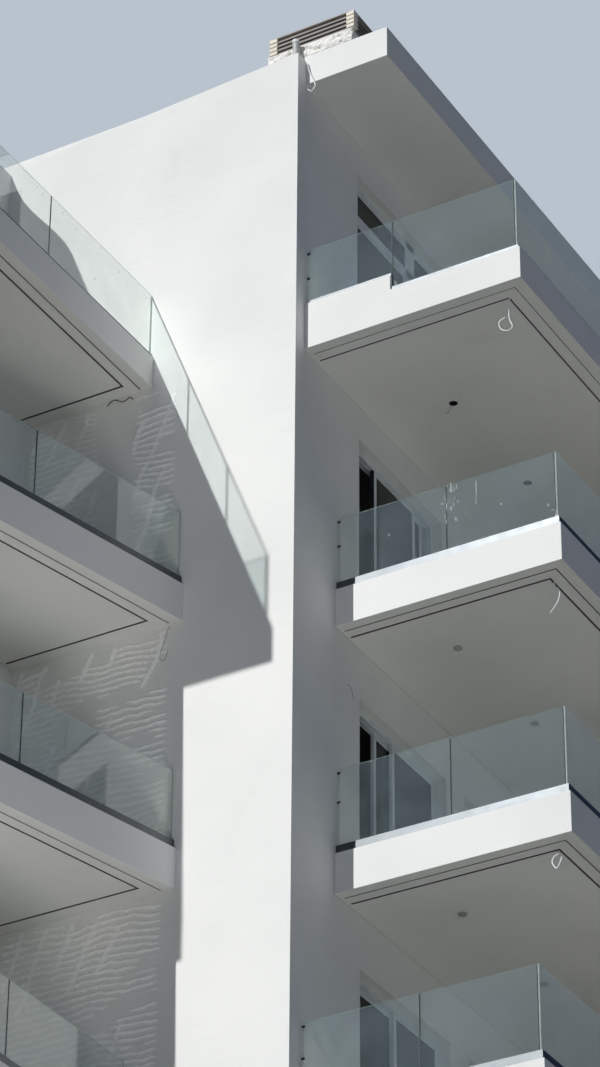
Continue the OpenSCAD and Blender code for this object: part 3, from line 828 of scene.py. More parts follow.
    def dress(self, finishes: Sequence[Finish],
              number: Callable[[bpy.types.MeshPolygon], int] = lambda face: 0) -> "Form":
        """Gives the faces their finishes.

        Args:
            finishes: the finishes on the form.
            number: takes a face and gives the number of its finish.

        Returns:
            The form.
        """
        self.alone(self.made)
        self.made.data.materials.clear()
        for one in finishes:
            self.made.data.materials.append(one.built())
        for face in self.made.data.polygons:
            face.material_index = number(face)
        return self

    def finish(self, name: str, finish: Finish, *replaces: str) -> None:
        """Puts the form in the row frame as a finished piece.

        Args:
            name: the piece's name.
            finish: its finish; a dressed form keeps its own.
            *replaces: the CAD nodes that it stands for.
        """
        self.shift(Matrix.Translation(PLAN.zero))
        if not self.made.data.materials:
            self.dress([finish])
        self.made.name = self.made.data.name = name
        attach(self.made, BODY)
        if replaces:
            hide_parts(*replaces)
        log.info("%s: %d faces", name, len(self.made.data.polygons))


def ring(w: float, h: float, rim: float, depth: float) -> Form:
    """Makes a rectangular ring in the plane of a facade.

    Args:
        w: its width, along Y from 0.
        h: its height, up from 0.
        rim: width of its sides.
        depth: how far it goes back from x = 0.

    Returns:
        The ring.
    """
    form = Form.block((-depth, 0, 0), (0, w, h))
    form.pick_facing(OUT, -OUT)
    bpy.ops.mesh.inset(thickness=rim, use_individual=True)
    bpy.ops.mesh.bridge_edge_loops()
    return form


# Balconies and walls


@dataclass
class SoftenedConcrete:
    """Balconies, roofs and the gable wall, with the small rounded arrises of rendered concrete."""

    arris: float = 0.004
    slot_low: float = 0.0003
    slot_deep: float = 0.0155
    lip_h: float = 0.001
    slot_in: float = 0.05
    groove_in: float = 0.2

    def balcony(self, wing: Wing, storey: int) -> Form:
        """Makes one balcony, with painted shade in the drip slots and grooves of its soffit.

        Args:
            wing: the balcony's wing.
            storey: the balcony's storey.

        Returns:
            The balcony.
        """
        form = Form.of_node(f"balcony_{wing.value}_{storey}")
        low = PLAN.slab(storey)
        if wing is Wing.RIGHT and storey == PLAN.storeys:
            for y in SoffitLights.places()[1::2]:
                form.cut(Form.disc((SoffitLights.out, y, low - PAST), SoffitLights.radius,
                                   SoffitLights.recess + PAST))
        lines = [PLAN.edge(wing, storey, inset) for inset in (self.slot_in, self.groove_in)]

        def number(face: bpy.types.MeshPolygon) -> int:
            """1 in the drip slots, 2 in the grooves and 0 elsewhere.

            Args:
                face: a face of the balcony.

            Returns:
                The number of its finish.
            """
            up = face.center.z - low
            on_lip = up < self.lip_h and face.normal.z > -Form.SQUARE
            if not (on_lip or self.slot_low < up < self.slot_deep):
                return 0
            return sum(all((b - a).cross(face.center - a).z > 0 for a, b in zip(line, line[1:]))
                       for line in lines)

        # The slot finishes are painted shade inside the drip slots and the deeper grooves
        return form.soften(self.arris).dress([WHITE_RENDER, DRIP_SLOT_PAINTED_SHADE, SLOT_PAINTED_SHADE], number)

    def build(self) -> None:
        """Makes a softened copy of each node."""
        for wing, storey in PLAN.balconies():
            node = f"balcony_{wing.value}_{storey}"
            self.balcony(wing, storey).finish(f"{node}_rendered", WHITE_RENDER, node)
        for node in ("roof_slab_right", "roof_slab_left", "gable_wall"):
            Form.of_node(node).soften(self.arris).finish(f"{node}_rendered", WHITE_RENDER, node)


@dataclass
class Balustrade:
    """Base channel, seals and frameless glass on the kerbs of one balcony."""

    wing: Wing
    storey: int
    channel_h: float = 0.1
    top_channel_h: float = 0.055
    channel_w: float = 0.06
    channel_in: float = 0.028
    high_channel_h: float = 0.05
    high_channel_in: float = 0.05
    wall: float = 0.012
    base: float = 0.02
    glass_t: float = 0.017
    glass_h: float = 0.8
    tall_glass_h: float = 0.88
    pane_max: float = 2.35
    pane_gap: float = 0.012
    wall_gap: float = 0.02
    arris: float = 0.0015
    seal_proud: float = 0.002
    seal_deep: float = 0.012
    strip_in: float = 0.0015
    strip_under: float = 0.01
    strip_short: float = 0.002
    strip_arris: float = 0.001

    @property
    def height(self) -> float:
        """Height of the channel."""
        return self.top_channel_h if self.storey == PLAN.storeys else self.channel_h

    @property
    def raised(self) -> bool:
        """Tells whether the ends stand on raised kerbs."""
        return self.wing is Wing.RIGHT and self.storey == PLAN.storeys

    @property
    def channel_top(self) -> float:
        """Height of the channel's lips."""
        return PLAN.kerb_top(self.storey) + self.height

    @property
    def glass_top(self) -> float:
        """Height of the glass's top edge."""
        low = self.wing is Wing.LEFT or self.storey == PLAN.storeys - 1
        return self.channel_top + (self.glass_h if low else self.tall_glass_h)

    @property
    def glass_in(self) -> float:
        """Distance of the glass's outer face from the slab's edge."""
        return self.channel_in + (self.channel_w - self.glass_t) / 2

    def high_lines(self, inset: float) -> list[list[Vector]]:
        """Lines of the raised pieces of channel, one at each end.

        Args:
            inset: distance of the lines from the slab's edge.

        Returns:
            The two lines.
        """
        line = PLAN.edge(self.wing, self.storey, inset)
        near, far = line[0].y, line[-1].y
        wall, end = self.high_channel_in, PLAN.high_kerb_l
        return [[Vector((wall, near, 0)), Vector((end, near, 0))],
                [Vector((end, far, 0)), Vector((wall, far, 0))]]

    def bars(self, inset: float, width: float, under: float, over: float,
             slot: Pair | None = None) -> list[Form]:
        """Bars along all the channels.

        Args:
            inset: distance of the bars from the slab's edge.
            width: their width.
            under: how far their undersides lie under the channel's lips.
            over: how far their tops stand over them.
            slot: as Form.bar takes it.

        Returns:
            The bars.
        """
        line = PLAN.edge(self.wing, self.storey, inset, PLAN.high_kerb_l if self.raised else 0.0)
        top = self.channel_top
        made = [Form.bar(line, i, width, top - under, top + over, slot)
                for i in range(len(line) - 1)]
        if self.raised:
            top = PLAN.slab(self.storey) + PLAN.high_kerb_h + self.high_channel_h
            under = min(under, self.high_channel_h)
            made += [Form.bar(line, 0, width, top - under, top + over, slot)
                     for line in self.high_lines(inset)]
        return made

    def stretches(self) -> list[list[Pair]]:
        """Starts and ends of the panes along each stretch of the glass's line.

        Returns:
            For each stretch the start and the end of every pane.
        """
        line = PLAN.edge(self.wing, self.storey, self.glass_in)
        side_l = (line[1] - line[0]).length
        last = side_l - self.glass_t - self.pane_gap
        if self.wing is Wing.RIGHT:
            mid = PLAN.high_kerb_l if self.raised else side_l / 2
            side = [(self.wall_gap, mid), (mid + self.pane_gap, last)]
        else:
            side = [(self.wall_gap, last)]
        front_l = (line[2] - line[1]).length - (self.wall_gap if self.wing is Wing.LEFT else 0)
        count = math.ceil(front_l / self.pane_max)
        half = self.pane_gap / 2
        front = [(front_l * i / count + half * (i > 0),
                  front_l * (i + 1) / count - half * (i < count - 1)) for i in range(count)]
        back = [(side_l - end, side_l - start) for start, end in reversed(side)]
        return [side, front, back][: len(line) - 1]

    def pane(self, start: float, end: float, foot: float) -> Form:
        """One pane along X, with ground edges of the second finish."""
        form = Form.block((start, 0, foot), (end, self.glass_t, self.glass_top))
        return form.soften(self.arris, 1).dress(
            [CLEAR_GLASS, GROUND_EDGE], lambda face: int(abs(face.normal.y) < Form.SQUARE))

    def build_glass(self) -> Form:
        """Makes the panes, which stand in the channel.

        Returns:
            The panes as one form.
        """
        line = PLAN.edge(self.wing, self.storey, self.glass_in)
        foot = self.channel_top - self.height + self.base + self.seal_proud
        high_foot = PLAN.slab(self.storey) + PLAN.high_kerb_h + self.base + self.seal_proud
        made = []
        for i, panes in enumerate(self.stretches()):
            length = (line[i + 1] - line[i]).length
            for start, end in panes:
                by_wall = i != 1 and (start if i == 0 else length - end) < 2 * self.wall_gap
                pane = self.pane(start, end, high_foot if self.raised and by_wall else foot)
                made.append(pane.lay(line[i], line[i + 1]))
        return Form.join(made)

    def joint_strips_with_painted_shade(self) -> list[Form]:
        """Makes the black silicone in the joints between the panes and at the corners, whose black
        also paints the shade in the narrow gaps.

        Returns:
            The strips.
        """
        line = PLAN.edge(self.wing, self.storey, self.glass_in)
        foot, top = self.channel_top - self.strip_under, self.glass_top - self.strip_short
        made = []
        for i, panes in enumerate(self.stretches()):
            starts = [end for _, end in panes[:-1]] + ([panes[-1][1]] if i == 0 else [])
            if i == 2:
                starts.append(panes[0][0] - self.pane_gap)
            for start in starts:
                strip = Form.block((start, self.strip_in, foot),
                                   (start + self.pane_gap, self.glass_t - self.strip_in, top))
                made.append(strip.soften(self.strip_arris, 1).lay(line[i], line[i + 1]))
        return made

    def build(self) -> None:
        """Makes the channel, its seals and the glass."""
        name = f"{self.wing.value}_{self.storey}"
        channel = Form.join(self.bars(self.channel_in, self.channel_w, self.height, 0.0,
                                      (self.wall, self.base)))
        channel.soften(self.arris, 1).finish(f"base_channel_{name}", ALUMINIUM,
                                             f"channels_{self.wing.value}")
        seal_w = (self.channel_w - self.glass_t) / 2 - self.wall
        seals = []
        for inset in (self.channel_in + self.wall, self.glass_in + self.glass_t):
            seals += self.bars(inset, seal_w, self.seal_deep, self.seal_proud)
        # The black joint strips also stand in, as painted shade, for the shade in the gaps between
        # panes
        Form.join([Form.join(seals).soften(self.arris, 1), *self.joint_strips_with_painted_shade()]).finish(
            f"glass_seals_{name}", RUBBER)
        self.build_glass().finish(f"glass_panes_{name}", CLEAR_GLASS,
                                  f"balustrade_glass_{self.wing.value}")


# Doors and windows


@dataclass
class SlidingDoors:
    """Aluminium doors in their reveals: a frame with three tracks and two leaves on rollers.

    The top storey has pairs of single doors with a light over each.
    """

    wing: Wing
    width: float = 1.885
    first: float = 1.37
    pitch: float = 2.31
    top_first: float = 1.345
    top_width: float = 2.87
    reveal: float = 0.11
    frame_w: float = 0.045
    frame_d: float = 0.104
    leaf_w: float = 0.062
    leaf_t: float = 0.04
    bead_w: float = 0.014
    bead_in: float = 0.006
    track_t: float = 0.0045
    track_h: float = 0.012
    lintel_h: float = 0.6
    high_lintel_h: float = 0.445
    top_lintel_h: float = 0.46
    ground_lintel_h: float = 1.3
    post_w: float = 0.185
    head_w: float = 0.095
    transom_h: float = 0.42
    transom_w: float = 0.08
    light_rim: float = 0.016
    light_t: float = 0.012
    light_seal: tuple[float, float, float] = (0.005, 0.003, 0.015)
    light_back: float = 0.009
    arris: float = 0.002
    leaf_arris: float = 0.0015
    brush_arris: float = 0.001
    brush_w: float = 0.026
    proud: float = 0.003
    seal_w: float = 0.009
    seal_t: float = 0.0022
    seal_in: float = 0.0002
    seal_lap: float = 0.003
    grip: Point = (0.012, 0.022, 0.22)
    grip_out: float = 0.028
    grip_z: float = 0.95
    grip_arris: float = 0.003
    foot: Pair = (0.016, 0.02)
    feet: Pair = (0.015, 0.185)
    lap: float = 0.002
    slid: dict = field(default_factory=lambda: {7: (0.76, 0.366), 6: (0.56, 0.0)})

    @property
    def leaf_out(self) -> float:
        """Depth of the outer leaf's face behind the facade."""
        return self.reveal + (self.frame_d / 2 - self.leaf_t) / 2

    @property
    def leaf_in(self) -> float:
        """Depth of the inner leaf's face."""
        return self.leaf_out + self.frame_d / 2

    def head(self, storey: int) -> float:
        """Height of a doorway's head.

        Args:
            storey: the storey.

        Returns:
            The height over the ground.
        """
        if storey == PLAN.storeys:
            roof = PLAN.roof if self.wing is Wing.RIGHT else PLAN.left_roof
            return roof - self.top_lintel_h
        special = {0: self.ground_lintel_h, PLAN.storeys - 1: self.high_lintel_h}
        return PLAN.slab(storey + 1) - special.get(storey, self.lintel_h)

    def places(self, storey: int) -> list[Pair]:
        """Facade line and start of each doorway of a storey.

        Args:
            storey: the storey.

        Returns:
            X of the facade line and Y of the start, for each doorway.
        """
        top = storey == PLAN.storeys
        if self.wing is Wing.RIGHT:
            return [(0.0, self.top_first + 2 * self.pitch * i) for i in range(2)] if top else [
                (0.0, self.first + self.pitch * i) for i in range(4)]
        if top:
            return [(-PLAN.left_set - PLAN.top_set, -self.top_first - self.top_width)]
        return [(-PLAN.left_set, -self.first - self.width - self.pitch * i) for i in range(2)]

    def leaf(self, w: float, h: float) -> Form:
        """Makes a leaf: stiles and rails with a set-back glazing bead.

        Args:
            w: its width.
            h: its height.

        Returns:
            The leaf.
        """
        form = Form.block((-self.leaf_t, 0, 0), (0, w, h))
        form.pick_facing(OUT, -OUT)
        for thickness, depth in ((self.leaf_w - self.bead_w, 0.0), (NEAR, -self.bead_in),
                                 (self.bead_w - NEAR, 0.0)):
            bpy.ops.mesh.inset(thickness=thickness, depth=depth, use_individual=True)
        bpy.ops.mesh.bridge_edge_loops()
        return form.soften(self.leaf_arris, 1)

    def seal(self, w: float, h: float) -> Form:
        """Makes the black seals round a leaf's glass, one on each side of it.

        Args:
            w: the leaf's width.
            h: the leaf's height.

        Returns:
            The two seals.
        """
        inner = self.leaf_w - self.seal_lap
        outer = ring(w - 2 * inner, h - 2 * inner, self.seal_w, self.seal_t)
        outer.move(-self.bead_in - self.seal_in, inner, inner)
        across = 2 * (self.bead_in + self.seal_in) + self.seal_t - self.leaf_t
        return Form.join([outer, outer.copy(x=across)])

    def handle(self) -> Form:
        """Makes a pull handle: a grip on two feet.

        Returns:
            The handle.
        """
        t, w, h = self.grip
        grip = Form.block((self.grip_out, -w / 2, 0), (self.grip_out + t, w / 2, h))
        w, h = self.foot
        feet = [Form.block((-self.lap, -w / 2, z), (self.grip_out + self.lap, w / 2, z + h))
                for z in self.feet]
        return Form.join([grip, *feet]).soften(self.grip_arris)

    def doorway(self, h: float, slid: float, drawn: float) -> list[Form]:
        """Makes a doorway's frame with two sliding leaves, and their seals.

        Args:
            h: height of the doorway.
            slid: how far the inner, near leaf is slid along.
            drawn: how far the outer, far leaf is drawn back.

        Returns:
            The painted parts and the black parts.
        """
        w = self.width
        leaf_l = (w - 2 * self.frame_w + self.leaf_w) / 2
        leaf_h = h - 2 * self.frame_w
        inner = self.frame_w - NEAR
        frame_ring = ring(w, h, self.frame_w, self.frame_d).soften(self.arris, 1)
        paint = [frame_ring.move(-self.reveal, 0, 0)]
        for back in (0.0, (self.frame_d - self.track_t) / 2, self.frame_d - self.track_t):
            paint.append(ring(w - 2 * inner, h - 2 * inner, self.track_h, self.track_t).move(
                -self.reveal - back, inner, inner))
        black = []
        for x, y in ((-self.leaf_in, self.frame_w + slid),
                     (-self.leaf_out, w - self.frame_w - leaf_l - drawn)):
            paint.append(self.leaf(leaf_l, leaf_h).move(x, y, self.frame_w))
            black.append(self.seal(leaf_l, leaf_h).move(x, y, self.frame_w))
        if drawn:
            brush = Form.block((-self.leaf_t, -self.brush_w, PAST),
                               (-self.lap, NEAR, leaf_h - PAST))
            black.append(brush.soften(self.brush_arris, 1).move(
                -self.leaf_out, w - self.frame_w - leaf_l - drawn, self.frame_w))
        paint.append(self.handle().move(-self.leaf_out, w - self.frame_w - drawn - self.leaf_w / 2,
                                        self.frame_w + self.grip_z))
        return [Form.join(paint), Form.join(black)]

    def pair(self, h: float) -> list[Form]:
        """Makes a pair of single doors with a post between them and a light over each.

        Args:
            h: height of the doorway.

        Returns:
            The painted parts and the black parts.
        """
        w, out = self.top_width, -self.reveal
        bar_z = h - self.transom_h
        light_w = (w - self.post_w) / 2 - self.frame_w
        light_h = self.transom_h - self.head_w
        leaf_h = bar_z - self.transom_w - self.frame_w
        paint = [ring(w, h, self.frame_w, self.frame_d).move(out, 0, 0)]
        for low, high in (((0, h - self.head_w), (w, h)), ((0, bar_z - self.transom_w), (w, bar_z)),
                          (((w - self.post_w) / 2, 0), ((w + self.post_w) / 2, h))):
            paint.append(Form.block((out - self.frame_d + NEAR, low[0] + NEAR, low[1] + NEAR),
                                    (out + self.proud, high[0] - NEAR, high[1] - NEAR)))
        paint = [form.soften(self.arris, 1) for form in paint]
        seal_w, seal_t, seal_in = self.light_seal
        black = []
        for y in (self.frame_w, (w + self.post_w) / 2):
            paint.append(self.leaf(light_w, leaf_h).move(-self.leaf_out, y, self.frame_w))
            black.append(self.seal(light_w, leaf_h).move(-self.leaf_out, y, self.frame_w))
            light = ring(light_w, light_h, self.light_rim, self.light_t).soften(self.arris, 1)
            paint.append(light.move(out - self.lap, y, bar_z))
            black.append(ring(light_w - 2 * seal_in, light_h - 2 * seal_in, seal_w, seal_t).move(
                out - self.lap - self.light_back, y + seal_in, bar_z + seal_in))
        paint.append(self.handle().move(-self.leaf_out, self.frame_w + light_w - self.leaf_w / 2,
                                        self.frame_w + self.grip_z))
        return [Form.join(paint), Form.join(black)]

    def build(self) -> None:
        """Makes the doors of the wing, one piece of each finish for each storey."""
        made: dict[tuple, list[Form]] = {}
        for storey in range(PLAN.storeys + 1):
            h = self.head(storey) - PLAN.floor(storey)
            groups: tuple[list[Form], list[Form]] = ([], [])
            for i, (x, y) in enumerate(self.places(storey)):
                ajar = self.wing is Wing.RIGHT and i == 0 and storey in self.slid
                moved = self.slid[storey] if ajar else (0.0, 0.0)
                key = (round(h, 4), storey == PLAN.storeys, moved)
                if key not in made:
                    made[key] = self.pair(h) if key[1] else self.doorway(h, *moved)
                for group, form in zip(groups, made[key]):
                    group.append(form.copy(x, y, PLAN.floor(storey)))
            name = f"{self.wing.value}_{storey}"
            Form.join(groups[0]).finish(f"door_set_{name}", FRAME_PAINT,
                                        f"door_frames_{self.wing.value}")
            Form.join(groups[1]).finish(f"door_seals_{name}", replace(RUBBER, slot="frame_grey"))
        for forms in made.values():
            for form in forms:
                form.drop()


@dataclass
class BackWindows:
    """Windows of two sashes in the back facade, with a sloping sill under each."""

    doors: SlidingDoors
    width: float = 1.3
    height: float = 1.4
    sill: float = 0.9
    right: int = 3
    left: int = 2
    sash_rim: float = 0.02
    sash_t: float = 0.03
    sash_back: float = 0.006
    seal_w: float = 0.005
    seal_t: float = 0.0055
    seal_in: float = 0.019
    seal_back: float = 0.034
    sill_t: float = 0.03
    sill_fall: float = 0.018

    def starts(self) -> list[float]:
        """Near side of each window along the facade.

        Returns:
            The near sides, for one storey.
        """
        found = []
        for low, high, count in ((PLAN.gable_t, PLAN.right_wing_l - PLAN.wall_t, self.right),
                                 (PLAN.wall_t - PLAN.left_wing_l, PLAN.gable_t, self.left)):
            bay = (high - low) / count
            found += [low + bay * (i + 0.5) - self.width / 2 for i in range(count)]
        return found

    def build(self) -> None:
        """Makes one window and copies it."""
        d = self.doors
        frame_ring = ring(self.width, self.height, d.frame_w, d.frame_d)
        mullion = Form.block((NEAR - d.frame_d, (self.width - d.leaf_w) / 2, d.frame_w),
                             (d.proud, (self.width + d.leaf_w) / 2, self.height - d.frame_w))
        sash_w = (self.width - d.leaf_w) / 2 - d.frame_w
        sash_h = self.height - 2 * d.frame_w
        parts = [frame_ring.soften(d.arris, 1), mullion.soften(d.arris, 1)]
        seals = []
        for y in (d.frame_w, (self.width + d.leaf_w) / 2):
            sash = ring(sash_w, sash_h, self.sash_rim, self.sash_t).soften(d.arris, 1)
            parts.append(sash.move(-self.sash_back, y, d.frame_w))
            seal = ring(sash_w - 2 * self.seal_in, sash_h - 2 * self.seal_in,
                        self.seal_w, self.seal_t)
            seals.append(seal.move(-self.seal_back, y + self.seal_in, d.frame_w + self.seal_in))
        sill = Form.block((0.0, d.lap, NEAR), (d.reveal - d.lap, self.width - d.lap, self.sill_t))
        sill.pick("VERT", lambda middle, normal: middle.x > d.reveal / 2
                  and middle.z > self.sill_t / 2)
        bpy.ops.transform.translate(value=(0, 0, -self.sill_fall))
        parts.append(sill.soften(d.arris, 1))
        for forms, name, finish, nodes in (
                (parts, "back_windows", FRAME_PAINT, ["window_frames_back"]),
                (seals, "back_window_seals", replace(RUBBER, slot="frame_grey"), [])):
            form = Form.join(forms).shift(Matrix.Scale(-1, 4, OUT))
            form.pick("FACE")
            bpy.ops.mesh.normals_make_consistent(inside=False)
            form.spread((d.reveal - PLAN.depth, y, PLAN.floor(s) + self.sill)
                        for s in range(PLAN.storeys + 1)
                        for y in self.starts()).finish(name, finish, *nodes)


# Roof pieces


@dataclass
class Chimney:
    """Rough plastered base with a louvred cowl of blades between stepped corner blocks."""

    voxel: float = 0.014
    lump_depth: float = 0.045
    lumps: Sequence[Pair] = ((8, 0.6), (20, 1.0), (45, 0.5))
    lumps_sum: float = 1.6
    foot_h: float = 0.03
    shaft_h: float = 0.172
    shaft_fade: float = 0.02
    arris: float = 0.002
    corner: float = 0.098
    corner_top: float = 0.012

    def rough(self, place: Vector) -> float:
        """Height of the thrown plaster at a place, from coarse to fine."""
        height = sum(share * noise.noise(place * turns) for turns, share in self.lumps)
        return height / self.lumps_sum

    def build(self) -> None:
        """Makes the base and the cowl."""
        base = Form.of_node("chimney").modify("REMESH", mode="VOXEL", voxel_size=self.voxel)
        low_z = PLAN.roof + PLAN.roof_t
        top_z = low_z + self.shaft_h
        for vertex in base.made.data.vertices:
            lift = min(1.0, max(0.0, (vertex.co.z - low_z) / self.foot_h))
            top = min(1.0, max(0.0, (top_z - vertex.co.z) / self.shaft_fade))
            vertex.co += vertex.normal * self.lump_depth * self.rough(vertex.co) * lift * top
        base.smooth().finish("chimney_base", ROUGH_PLASTER, "chimney")
        low, high = (place - PLAN.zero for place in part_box("chimney_cowl"))

        def number(face: bpy.types.MeshPolygon) -> int:
            """1 on the corner blocks and 0 elsewhere.

            Args:
                face: a face of the cowl.

            Returns:
                The number of its finish.
            """
            x, y, z = face.center
            off = max(min(x - low.x, high.x - x), min(y - low.y, high.y - y))
            return int(off < self.corner and z < high.z - self.corner_top)

        cowl = Form.of_node("chimney_cowl").soften(self.arris, 1)
        # The corner blocks' paler colour is partly painted highlight for the sun on their faces
        cowl.dress([COWL_STEEL, COWL_BLOCK_PAINTED_HIGHLIGHT], number).finish("cowl", COWL_STEEL, "chimney_cowl")


@dataclass
class VentPipe:
    """Plastic pipe with a rounded cap over a vented collar."""

    radius: float = 0.0375
    wall: float = 0.004
    arris: float = 0.0015
    cap_out: float = 0.007
    cap_h: float = 0.049
    cap_wall: float = 0.005
    cap_deep: float = 0.012
    cap_round: float = 0.02

    def build(self) -> None:
        """Makes the pipe and its cap."""
        low, high = (place - PLAN.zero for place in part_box("vent_pipe"))
        x, y = (low.x + high.x) / 2, (low.y + high.y) / 2
        cap_z = high.z - self.cap_h
        pipe = Form.disc((x, y, low.z - PAST), self.radius, cap_z - low.z + self.cap_deep)
        pipe.pick_facing(UP)
        bpy.ops.mesh.inset(thickness=self.wall)
        pipe.soften(self.arris, 1).dress([PIPE_PLASTIC])
        cap = Form.disc((x, y, cap_z), self.radius + self.cap_out, self.cap_h)
        cap.pick_facing(-UP)
        bpy.ops.mesh.inset(thickness=self.cap_wall)
        cap.extrude((0, 0, self.cap_deep))
        cap.pick("EDGE", lambda middle, normal: middle.z > high.z - NEAR)
        bpy.ops.mesh.bevel(offset=self.cap_round, segments=6)
        cap.dress([CAP_PLASTIC])
        Form.join([pipe, cap]).smooth().finish("vent_pipe_capped", PIPE_PLASTIC, "vent_pipe")


@dataclass
class RoofSheets:
    """Slated bitumen sheets laid side by side with laps on the flat roofs."""

    width: float = 1.0
    lap: float = 0.1
    thick: float = 0.005
    arris: float = 0.001

    def strips(self, low: Pair, high: Pair, z: float) -> list[Form]:
        """Sheets that run along Y between two corners.

        Args:
            low: lowest X and Y.
            high: highest X and Y.
            z: height of the roof's top.

        Returns:
            The sheets.
        """
        made, x = [], low[0]
        while x < high[0] - self.lap:
            end = min(x + self.width, high[0])
            form = Form.block((x, low[1], z), (end, high[1], z + self.thick))
            form.pick("VERT", lambda middle, normal: middle.x > end - NEAR)
            bpy.ops.transform.translate(value=(0, 0, self.thick))
            made.append(form)
            x += self.width - self.lap
        return made

    def build(self) -> None:
        """Makes the sheets of both roofs."""
        rim = PLAN.roof_rim_w
        right = self.strips((rim - PLAN.depth, PLAN.gable_t + rim),
                            (PLAN.roof_out - rim, PLAN.right_wing_l - rim),
                            PLAN.roof + PLAN.roof_slab_t)
        out = -PLAN.left_set - PLAN.top_set - rim
        left = self.strips((rim - PLAN.depth, rim - PLAN.left_wing_l), (out, 0.0),
                           PLAN.left_roof + PLAN.roof_slab_t)
        Form.join(right + left).soften(self.arris, 1).finish("roof_sheets", ROOF_SHEET)


# Fittings and marks


@dataclass
class FloorTiles:
    """Stoneware tiles on the balconies' floors, with open joints."""

    tile: float = 0.6
    joint: float = 0.004
    thick: float = 0.009
    arris: float = 0.0015

    def build(self) -> None:
        """Lays every balcony, and trims the splayed ones along their kerb."""
        pattern: dict[Pair, Form] = {}
        half = self.joint / 2
        for wing, storey in PLAN.balconies():
            line = PLAN.edge(wing, storey, PLAN.kerb_w)
            x0, y0 = line[0].x, line[0].y
            x1, y1 = max(p.x for p in line), line[-1].y
            nx, ny = round((x1 - x0) / self.tile), round((y1 - y0) / self.tile)
            size = ((x1 - x0) / nx, (y1 - y0) / ny)
            if size not in pattern:
                pattern[size] = Form.block((half, half, 0), (size[0] - half, size[1] - half,
                                                             self.thick)).soften(self.arris, 1)
            whole = Form.join(
                pattern[size].copy(x0 + size[0] * i, y0 + size[1] * j, PLAN.floor(storey))
                for i in range(nx) for j in range(ny))
            if wing is Wing.LEFT and not PLAN.flush(storey):
                way = (line[2] - line[1]).normalized()
                whole.pick("FACE")
                bpy.ops.mesh.bisect(plane_co=line[1], plane_no=way.cross(UP), use_fill=True,
                                    clear_outer=True)
            whole.finish(f"floor_tiles_{wing.value}_{storey}", STONEWARE)
        for form in pattern.values():
            form.drop()


@dataclass
class SoffitLights:
    """Round lights in the right balconies' soffits, and the open recesses of the top one."""

    radius: float = 0.048
    rim: float = 0.013
    height: float = 0.014
    out: float = 0.905
    along: float = 1.84
    pitch: float = 1.765
    lens_in: float = 0.006
    lens_proud: float = 0.003
    arris: float = 0.0012
    recess: float = 0.07
    liner_t: float = 0.002
    liner_base: float = 0.008

    @classmethod
    def places(cls) -> list[float]:
        """Places of the lights along a balcony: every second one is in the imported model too."""
        near = [cls.along, cls.along + cls.pitch]
        return near + [PLAN.right_wing_l / 2] + [PLAN.right_wing_l - y for y in reversed(near)]

    def build(self) -> None:
        """Makes one light and one recess liner, and copies them."""
        places = self.places()
        light = Form.disc((0, 0, -self.height), self.radius, self.height)
        light.pick_facing(-UP)
        for inset, deep in ((self.rim, self.height / 2), (self.lens_in, -self.lens_proud)):
            bpy.ops.mesh.inset(thickness=inset)
            light.extrude((0, 0, deep))
        light.soften(self.arris).smooth()
        light.spread((self.out, y, PLAN.slab(s)) for s in range(1, PLAN.storeys)
                     for y in places).finish("downlights", LIGHT_PLASTIC, "soffit_lights")
        can = Form.disc((0, 0, 0), self.radius - NEAR, self.recess - self.liner_t)
        can.pick_facing(-UP)
        bpy.ops.mesh.inset(thickness=self.liner_t)
        can.extrude((0, 0, self.recess - self.liner_base))
        can.spread((self.out, y, PLAN.slab(PLAN.storeys) + NEAR) for y in places).smooth().finish(
            "recess_liners", replace(RUBBER, slot="light_fitting"))


class Layer(Enum):
    """Layers of the trowel ripples: waves a metre along X and Z, and what the seed is raised by."""

    WARP = (1.6, 1.3, 0)
    TREMBLE = (9, 7, 5)
    LEVEL = (2.2, 5.0, 11)
    SWAY = (2, 2, 3)
    STROKE = (3.2, 1.4, 17)
    FINE = (24, 40, 23)
    PATCH = (1.1, 0.9, 31)
    GAP = (0, 2.5, 0)

    def at(self, x: float, z: float, seed: float) -> float:
        """Smooth noise at a place of the wall, from -1 to 1."""
        waves_x, waves_z, raised = self.value
        return noise.noise(Vector((x * waves_x, z * waves_z, seed + raised)))


